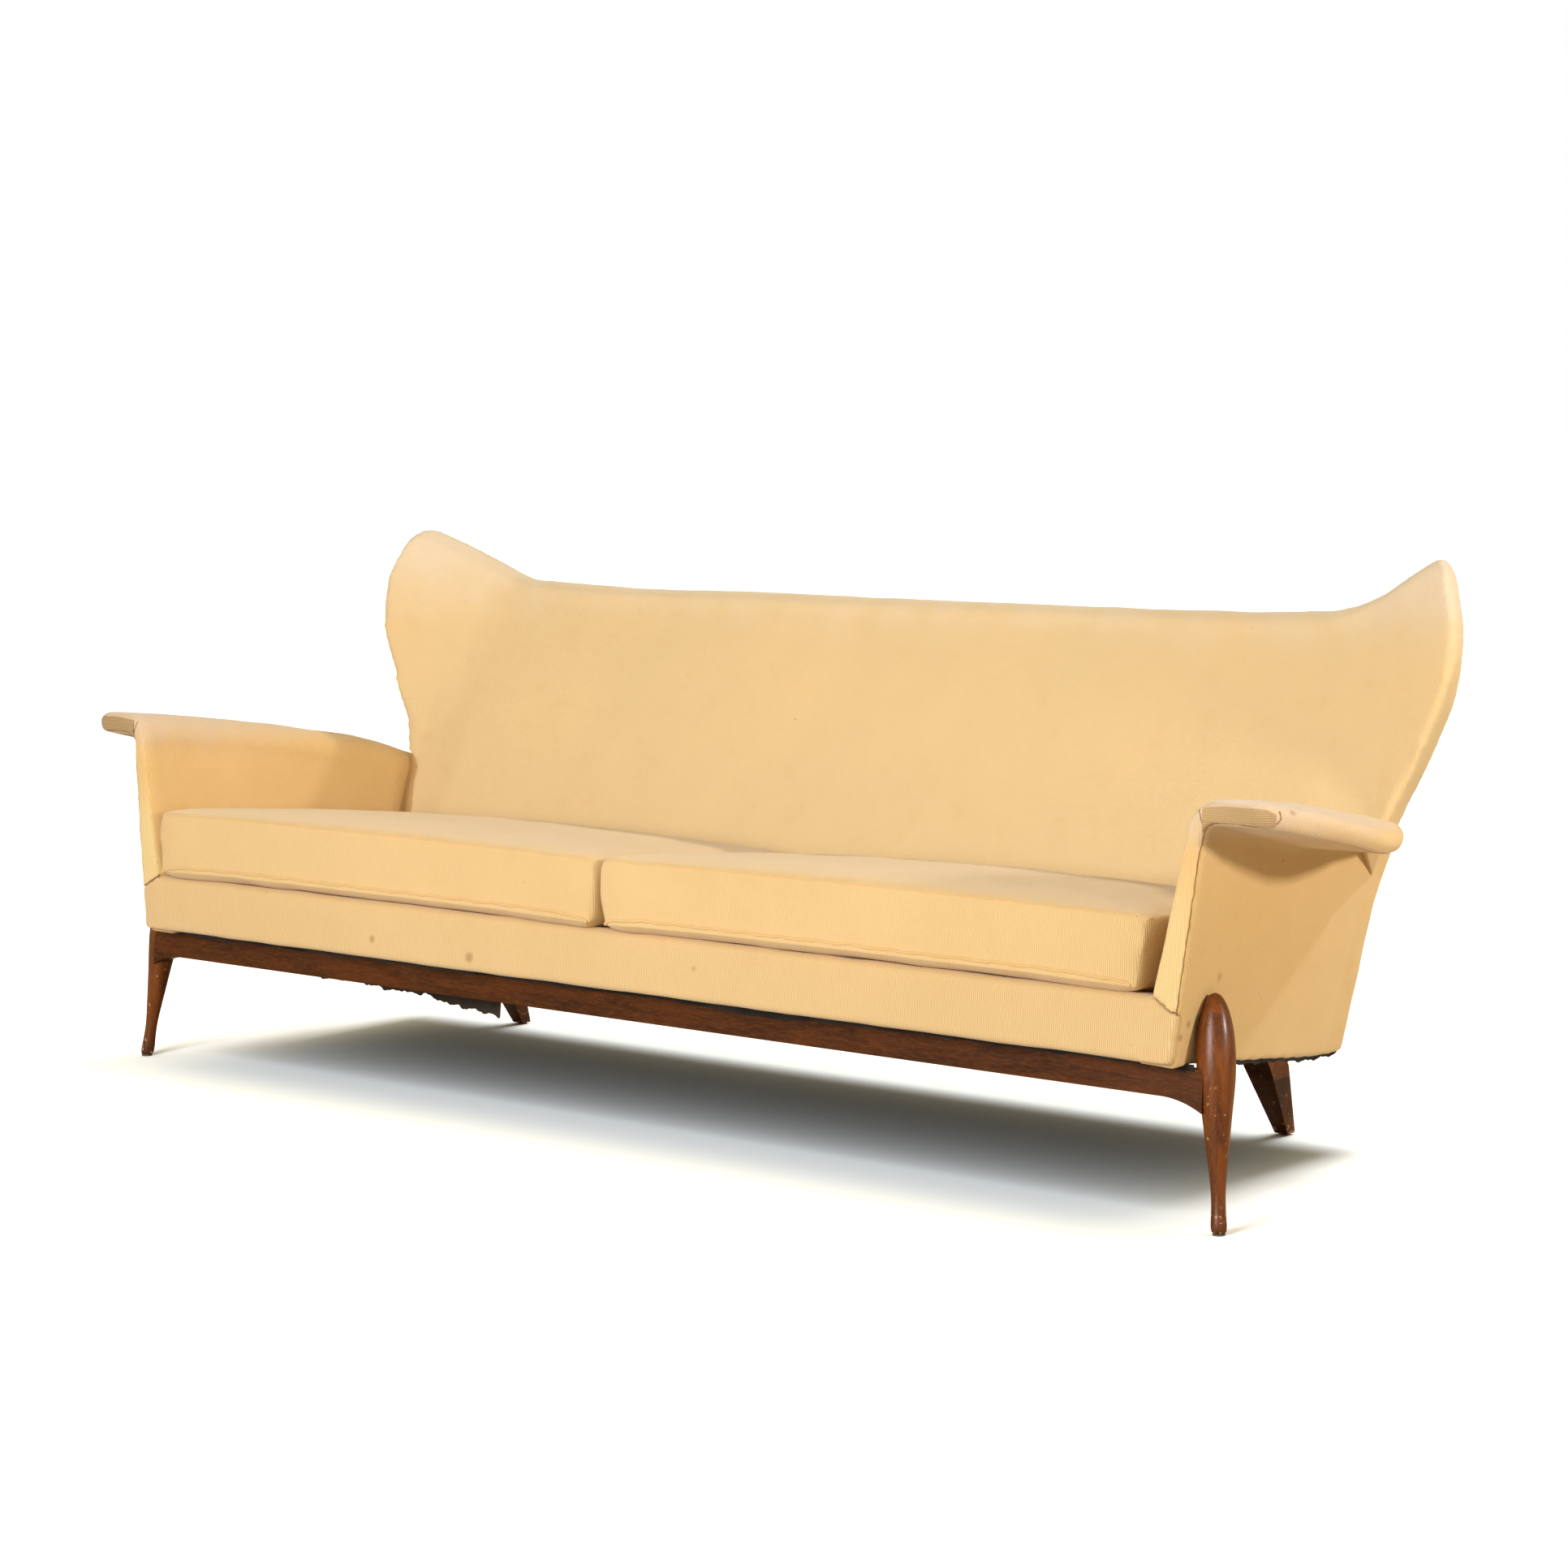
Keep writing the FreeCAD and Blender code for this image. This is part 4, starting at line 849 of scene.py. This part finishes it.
def seat_place(x, depth, height):
    """Point of the level seat frame, moved to where the tilted seat is."""
    y = FRONT_Y + depth * math.cos(SEAT_ANGLE) + height * math.sin(SEAT_ANGLE)
    z = UNDERSIDE - depth * math.sin(SEAT_ANGLE) + height * math.cos(SEAT_ANGLE)
    return (x, y, z)


# Height in the seat frame, bow and radius of the cords of a cushion
WELTS = {"bottom": (0.1045, 0.012, 0.0021), "top": (0.213, 0.0, 0.0011)}
THREAD_RADIUS = 0.0007


def cushion_welts(side, cushion):
    """Corded seam round the foot of the box, bowed up between its corners, and a thin one on top."""
    steps = 28
    for label, (height, bow, radius) in WELTS.items():
        run = []
        for step in range(steps + 1):
            share = step / steps
            lift = bow * (1 - (2 * share - 1) ** 8)
            run.append(seat_place(SIGN[side] * (0.006 + 0.999 * share), 0.002 - CUSHION_REACH, height + lift))
        laid = drawn_on(cushion, run, 3, 0.0004)
        tube("cushion_welt_" + label + "_" + side, laid, radius, finishes["welt"],
             "cushion_" + side)


arms = {side: upholster_arm(side) for side in SIDES}
upholster_back()
upholster_border()
cushions = {side: fill_cushion(side) for side in SIDES}
for side, cushion in cushions.items():
    cushion_welts(side, cushion)


def ribbon(name, columns, rows, place):
    """A strip or sheet of cloth: a flat grid whose points are set by place(along, across)."""
    piece = primitive(name, bpy.ops.mesh.primitive_grid_add, x_subdivisions=columns, y_subdivisions=rows,
                      size=1)
    for vertex in piece.data.vertices:
        vertex.co = Vector(place(vertex.co.x + 0.5, vertex.co.y + 0.5))
    return piece


def bottom_cloth():
    """The cloth tacked under the seat, hanging a little between the rails."""

    def place(along, across):
        depth = 0.080 + 0.540 * across
        half = 1.010 - 0.052 * across
        sag = 0.006 * math.sin(math.pi * across) * (1 + 0.4 * wobble(along, 9.0))
        return seat_place((2 * along - 1) * half, depth, 0.0028 - sag)

    cloth = ribbon("bottom_cloth", 90, 24, place)
    thicken(cloth)
    dress(cloth, finishes["bottom"])
    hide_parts("dust_cover")
    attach(cloth, "sofa_frame")


def torn_flap():
    """The torn edge of the bottom cloth, longer towards its right end."""
    left_end, length, longest, depth = -0.775, 0.43, 0.095, 0.157

    def place(along, across):
        tears = 0.004 * wobble(along, 17.0, 1.3) + 0.003 * wobble(along, 71.0)
        drop = min(0.062 + 0.027 * along ** 2.2 + tears, longest)
        ripple = 0.006 * wobble(along, 12.0, 0.6) * across
        return seat_place(left_end + length * along, depth + ripple, 0.002 - drop * across)

    flap = ribbon("torn_flap", 90, 8, place)
    thicken(flap)
    dress(flap, finishes["bottom"])
    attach(flap, "sofa_frame")


def edge_tape():
    """Black tape under the border; it has come loose and sags near the middle."""
    half_length, loose_at, loose_run = 1.072, 0.30, 0.10

    def place(along, across):
        x = (2 * along - 1) * half_length
        loose = math.exp(-(((x - loose_at) / loose_run) ** 2))
        fray = 0.0012 * wobble(along, 140.0) + 0.0010 * wobble(along, 47.0, 2.0)
        foot = -0.0085 - 0.006 * loose + fray
        return seat_place(x, 0.0508 - 0.0030 * loose * across, 0.001 + (foot - 0.001) * across)

    tape = ribbon("edge_tape", 500, 4, place)
    thicken(tape)
    dress(tape, finishes["black"])
    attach(tape, "sofa_frame")


# Seams of the right arm: down the front outer edge, under the flare, across the mitre and at the corner
ARM_SEAMS = {
    "front_edge": ((1.063, -0.412, 0.244), (1.068, -0.410, 0.285), (1.072, -0.407, 0.308),
                   (1.080, -0.404, 0.38), (1.090, -0.400, 0.46), (1.099, -0.397, 0.53),
                   (1.108, -0.393, 0.566)),
    "flare_edge": ((1.108, -0.393, 0.566), (1.122, -0.392, 0.576), (1.150, -0.392, 0.578),
                   (1.185, -0.385, 0.578), (1.203, -0.371, 0.583), (1.206, -0.366, 0.590),
                   (1.205, -0.366, 0.601)),
    "mitre": ((1.026, -0.403, 0.336), (1.050, -0.407, 0.322), (1.072, -0.409, 0.308)),
    "corner": ((1.108, -0.393, 0.566), (1.098, -0.393, 0.580), (1.092, -0.391, 0.598)),
}


def body_seams(side):
    """Hand-stitched seams of the arm, a little wavy."""
    for label, points in ARM_SEAMS.items():
        laid = drawn_on(arms[side], [(SIGN[side] * x, y, z) for x, y, z in points], 10, 0.0002)
        wavy = [spot + Vector((0.0006 * wobble(i, 0.9), 0, 0.0005 * wobble(i, 1.3)))
                for i, spot in enumerate(laid)]
        tube("seam_" + label + "_" + side, wavy, THREAD_RADIUS, finishes["thread"], "sofa_frame")


def flare_patch(side):
    """Strip of ribbed cloth round the front of the flare, its ribs level."""

    def place(along, across):
        x = 1.099 + 0.105 * along
        y = -0.393 + 0.022 * step_between(x, 1.165, 1.215)
        low = 0.5765 - 0.010 * step_between(x, 1.115, 1.099)
        high = 0.601 + 0.004 * math.sin(math.pi * along) - 0.004 * step_between(x, 1.190, 1.204)
        guess = Vector((SIGN[side] * x, y, low + (high - low) * across))
        from_edge = min(1.0, 6 * across, 6 * (1 - across), 8 * (1 - along))
        return laid_on(arms[side], guess, 0.0011 * from_edge + 0.0003)

    patch = ribbon("flare_patch_" + side, 60, 16, place)
    thicken(patch, 0.0012)
    smooth_shading(patch)
    dress(patch, finishes["patch_wool"])
    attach(patch, "sofa_frame")


def gusset(side):
    """Small folded gore of cloth between the rear end of the flare and the side panel."""
    piece = primitive("gusset_" + side, bpy.ops.mesh.primitive_cone_add, vertices=3, radius1=0.5, depth=1,
                      end_fill_type="NGON")
    corners = ((1.082, 0.084, 0.498), (1.084, 0.130, 0.494), (1.034, 0.125, 0.500), (1.047, 0.1695, 0.4425))
    for vertex, (x, y, z) in zip(piece.data.vertices, corners):
        vertex.co = Vector((SIGN[side] * x, y, z))
    piece.matrix_world.identity()
    press_in(piece, "SUBSURF", "grid", levels=3, subdivision_type="SIMPLE")
    press_in(piece, "SMOOTH", "round", factor=0.5, iterations=2)
    only(piece)
    bpy.ops.object.mode_set(mode="EDIT")
    end_edit_faces_out()
    smooth_shading(piece, 80)
    dress(piece, finishes["arm_wool"])
    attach(piece, "sofa_frame")


def side_edging(side):
    """Black cloth edge under the side panel, frayed along its foot."""
    arm = arms[side]
    sign = SIGN[side]

    def place(along, across):
        y = -0.285 + 0.440 * along
        beside = Vector((sign * 2, y, panel_line(y, 0.244) + 0.02))
        _, outer, _, _ = arm.ray_cast(beside, Vector((-sign, 0, 0)))
        x = outer.x - sign * (0.007 + 0.004 * step_between(along, 0.9, 1.0))
        _, foot, _, _ = arm.ray_cast(Vector((x, y, -0.5)), Vector((0, 0, 1)))
        hem = 0.0052 + 0.0016 * wobble(y, 130.0) + 0.0018 * wobble(y, 37.0, 1.0)
        return (x, y, foot.z + 0.003 - (0.003 + hem) * across)

    tape = ribbon("side_edging_" + side, 200, 3, place)
    thicken(tape)
    dress(tape, finishes["black"])
    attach(tape, "sofa_frame")


LEG_FOOT = 0.003
LEG_LENGTH = 0.330
LEG_RADIUS = 0.028
FOOT_SHARE = 0.31
# Middle of the right leg on the floor, and how far it leans in and back for each metre up
LEG_X, LEG_Y = 1.1155, -0.3634
LEAN_IN, LEAN_BACK = 0.108, 0.12
# Height above the foot and half width of the turned leg, as shares of its length and radius
LEG_TURNING = (
    (0.004, 0.36), (0.012, 0.40), (0.033, 0.415), (0.060, 0.395), (0.087, 0.375), (0.125, 0.362),
    (0.165, 0.370), (0.205, 0.402), (0.240, 0.445), (0.290, 0.505), (0.340, 0.570), (0.390, 0.632),
    (0.440, 0.690), (0.500, 0.775), (0.560, 0.860), (0.605, 0.925), (0.650, 0.970), (0.695, 0.993),
    (0.740, 1.000), (0.790, 0.972), (0.840, 0.920), (0.870, 0.858), (0.900, 0.780), (0.927, 0.692),
    (0.950, 0.590), (0.966, 0.500), (0.978, 0.410), (0.987, 0.322), (0.994, 0.220), (0.998, 0.120),
    (0.9995, 0.040),
)


def turned_leg(side):
    """Front leg turned in one piece, its round head let into the arm, leaning in and back as it rises."""
    leg = primitive("turned_leg_" + side, bpy.ops.mesh.primitive_circle_add, vertices=48,
                    radius=LEG_RADIUS * FOOT_SHARE, fill_type="NGON", location=(0, 0, LEG_FOOT))
    bpy.ops.object.transform_apply(location=True, rotation=True, scale=True)
    bpy.ops.object.mode_set(mode="EDIT")
    bpy.ops.mesh.select_all(action="SELECT")
    height, width = 0.0, FOOT_SHARE
    for next_height, next_width in LEG_TURNING:
        rise = LEG_LENGTH * (next_height - height)
        bpy.ops.mesh.extrude_region_move(TRANSFORM_OT_translate={"value": (0, 0, rise)})
        grow = next_width / width
        middle = (0, 0, LEG_FOOT + LEG_LENGTH * next_height)
        bpy.ops.transform.resize(value=(grow, grow, 1), center_override=middle)
        height, width = next_height, next_width
    end_edit_faces_out()
    for vertex in leg.data.vertices:
        rise = vertex.co.z
        vertex.co.x += SIGN[side] * (LEG_X - LEAN_IN * rise)
        vertex.co.y += LEG_Y + LEAN_BACK * rise
    press_in(leg, "SUBSURF", "smooth turning", levels=1)
    smooth_shading(leg, 50)
    dress(leg, finishes["leg"])
    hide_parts("front_leg_" + side)
    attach(leg, "sofa_frame")


for side in SIDES:
    body_seams(side)
    flare_patch(side)
    gusset(side)
    side_edging(side)
    turned_leg(side)
bottom_cloth()
torn_flap()
edge_tape()

REAR_LEGS = ("rear_leg_left", "rear_leg_right")
# Finishes of the CAD pieces by how their names start; the rest are of raw beech
CAD_FINISHES = {
    "leg": ("front_leg_left", "front_leg_right") + REAR_LEGS,
    "rail": ("front_rail", "rail_end"),
    "black": ("black_edge_strip",),
    "bottom": ("dust_cover",),
    "jute": ("back_webbing", "deck_cloth"),
    "lining": ("deck_pad",),
    "steel": ("seat_springs", "spring_clips", "front_leg_bolts", "rear_leg_bolts"),
    "glide": ("leg_glides",),
}
LEG_EDGE = 0.0030
RAIL_EDGE = 0.0008


def ease_edges(cad, width):
    """Joins the faces of the CAD piece and takes the sharpness off its edges."""
    weld = cad.modifiers.new("joined faces", "WELD")
    weld.merge_threshold = 0.00005
    bevel = cad.modifiers.new("eased edges", "BEVEL")
    bevel.width = width
    bevel.segments = 3
    bevel.limit_method = "ANGLE"
    bevel.angle_limit = math.radians(35)


for name, cad in nodes.items():
    key = next((finish for finish, starts in CAD_FINISHES.items() if name.startswith(starts)), "beech")
    cad.data.materials.clear()
    cad.data.materials.append(finishes[key])
    if name.startswith(REAR_LEGS):
        ease_edges(cad, LEG_EDGE)
    elif key == "rail":
        ease_edges(cad, RAIL_EDGE)

# Floor, light and camera


def give_out(tree, share, plain, seen, out):
    """Gives the plain shader out, and the seen one where share is 1."""
    mix = tree.nodes.new("ShaderNodeMixShader")
    for number, socket in enumerate((share, plain.outputs[0], seen.outputs[0])):
        tree.links.new(socket, mix.inputs[number])
    tree.links.new(mix.outputs[0], out.inputs["Surface"])


def coloured(tree, kind, colour, strength=None):
    """A shader node of one colour."""
    made = tree.nodes.new(kind)
    made.inputs["Color"].default_value = colour
    if strength is not None:
        made.inputs["Strength"].default_value = strength
    return made


def studio():
    """White floor that runs out of sight, and even, slightly warm light from all round."""
    floor = primitive("studio_floor", bpy.ops.mesh.primitive_plane_add, size=160)
    floor.data.materials.append(floor_paint())

    world = bpy.data.worlds.new("studio")
    bpy.context.scene.world = world
    world.use_nodes = True
    tree = world.node_tree
    tree.nodes.clear()
    soft = coloured(tree, "ShaderNodeBackground", (1.0, 0.855, 0.57, 1), 0.39)
    seen = coloured(tree, "ShaderNodeBackground", (1, 1, 1, 1), 1.0)
    path = tree.nodes.new("ShaderNodeLightPath")
    either = tree.nodes.new("ShaderNodeMath")
    either.operation = "MAXIMUM"
    tree.links.new(path.outputs["Is Camera Ray"], either.inputs[0])
    tree.links.new(path.outputs["Is Transmission Ray"], either.inputs[1])
    give_out(tree, either.outputs[0], soft, seen, tree.nodes.new("ShaderNodeOutputWorld"))
    return floor


def floor_paint():
    """Pale paint; the camera sees it twice as bright, so that it is white out of the shadow."""
    paint = bpy.data.materials.new("white floor")
    paint.use_nodes = True
    tree = paint.node_tree
    tree.nodes.clear()
    plain = coloured(tree, "ShaderNodeBsdfDiffuse", (0.55, 0.47, 0.36, 1))
    double = tree.nodes.new("ShaderNodeAddShader")
    for number in (0, 1):
        once = coloured(tree, "ShaderNodeBsdfDiffuse", (0.89, 0.94, 0.98, 1))
        tree.links.new(once.outputs[0], double.inputs[number])
    to_camera = tree.nodes.new("ShaderNodeLightPath").outputs["Is Camera Ray"]
    give_out(tree, to_camera, plain, double, tree.nodes.new("ShaderNodeOutputMaterial"))
    return paint


def turned_to(place, aim):
    return (Vector(aim) - Vector(place)).to_track_quat("-Z", "Y").to_euler()


def light(name, kind, place, aim, power, colour):
    """A light that shines from place towards aim."""
    data = bpy.data.lights.new(name, kind)
    data.energy = power
    data.color = colour
    made = bpy.data.objects.new(name, data)
    bpy.context.scene.collection.objects.link(made)
    made.rotation_euler = turned_to(place, aim)
    return made


def lamp(name, place, aim, size, power, colour):
    """Square lamp with that length of side."""
    made = light(name, "AREA", place, aim, power, colour)
    made.data.size = size
    made.location = place
    return made


def far_lamp(name, azimuth, elevation, spread, strength, colour):
    """Light of one direction; azimuth turns from the right of the sofa towards its back."""
    turn, rise = math.radians(azimuth), math.radians(elevation)
    place = (math.cos(rise) * math.cos(turn), math.cos(rise) * math.sin(turn), math.sin(rise))
    made = light(name, "SUN", place, (0, 0, 0), strength, colour)
    made.data.angle = math.radians(spread)
    return made


def keep_to(made, floor, on_floor):
    """Lets a lamp light only the floor, or everything but the floor."""
    lit = bpy.data.collections.new(made.name + " lights")
    lit.objects.link(floor)
    made.light_linking.receiver_collection = lit
    lit.collection_objects[0].light_linking.link_state = "INCLUDE" if on_floor else "EXCLUDE"


def shade_card():
    """Black card under the sofa, itself unseen, that deepens the shadow on the floor."""
    card = primitive("shade_card", bpy.ops.mesh.primitive_plane_add, size=1, location=(-0.02, -0.075, 0.10))
    bpy.ops.transform.resize(value=(2.02, 0.73, 1))
    card.visible_camera = False
    card.visible_glossy = False
    black = bpy.data.materials.new("black card")
    black.use_nodes = True
    black.node_tree.nodes["Principled BSDF"].inputs["Base Color"].default_value = (0.01, 0.01, 0.01, 1)
    card.data.materials.append(black)


def photo_camera():
    """The camera as it was solved from the photo."""
    data = bpy.data.cameras.new("photo view")
    data.lens = 82.74
    data.sensor_width = 36.0
    data.clip_end = 60
    camera = bpy.data.objects.new("photo view", data)
    bpy.context.scene.collection.objects.link(camera)
    camera.location = (3.730, -4.5834, 1.149)
    camera.rotation_euler = (math.radians(90 - 5.99), 0, math.radians(38.79))
    bpy.context.scene.camera = camera


floor = studio()
bpy.context.scene.view_settings.view_transform = "Standard"
behind = far_lamp("lamp behind", azimuth=73, elevation=43, spread=3, strength=1.5, colour=(1.0, 0.98, 0.95))
on_floor = far_lamp("soft lamp on the floor", azimuth=80, elevation=62, spread=38, strength=1.35,
                    colour=(1.0, 1.0, 1.0))
at_right = lamp("lamp at the right", place=(3.3, 0.10, 1.20), aim=(1.0, -0.1, 0.45), size=0.22, power=36,
                colour=(1.0, 0.97, 0.93))
lamp("soft front", place=(0.5, -5.5, 2.0), aim=(0.1, 0, 0.45), size=2.4, power=270, colour=(0.97, 0.98, 1.0))
keep_to(behind, floor, False)
keep_to(on_floor, floor, True)
keep_to(at_right, floor, False)
shade_card()
photo_camera()
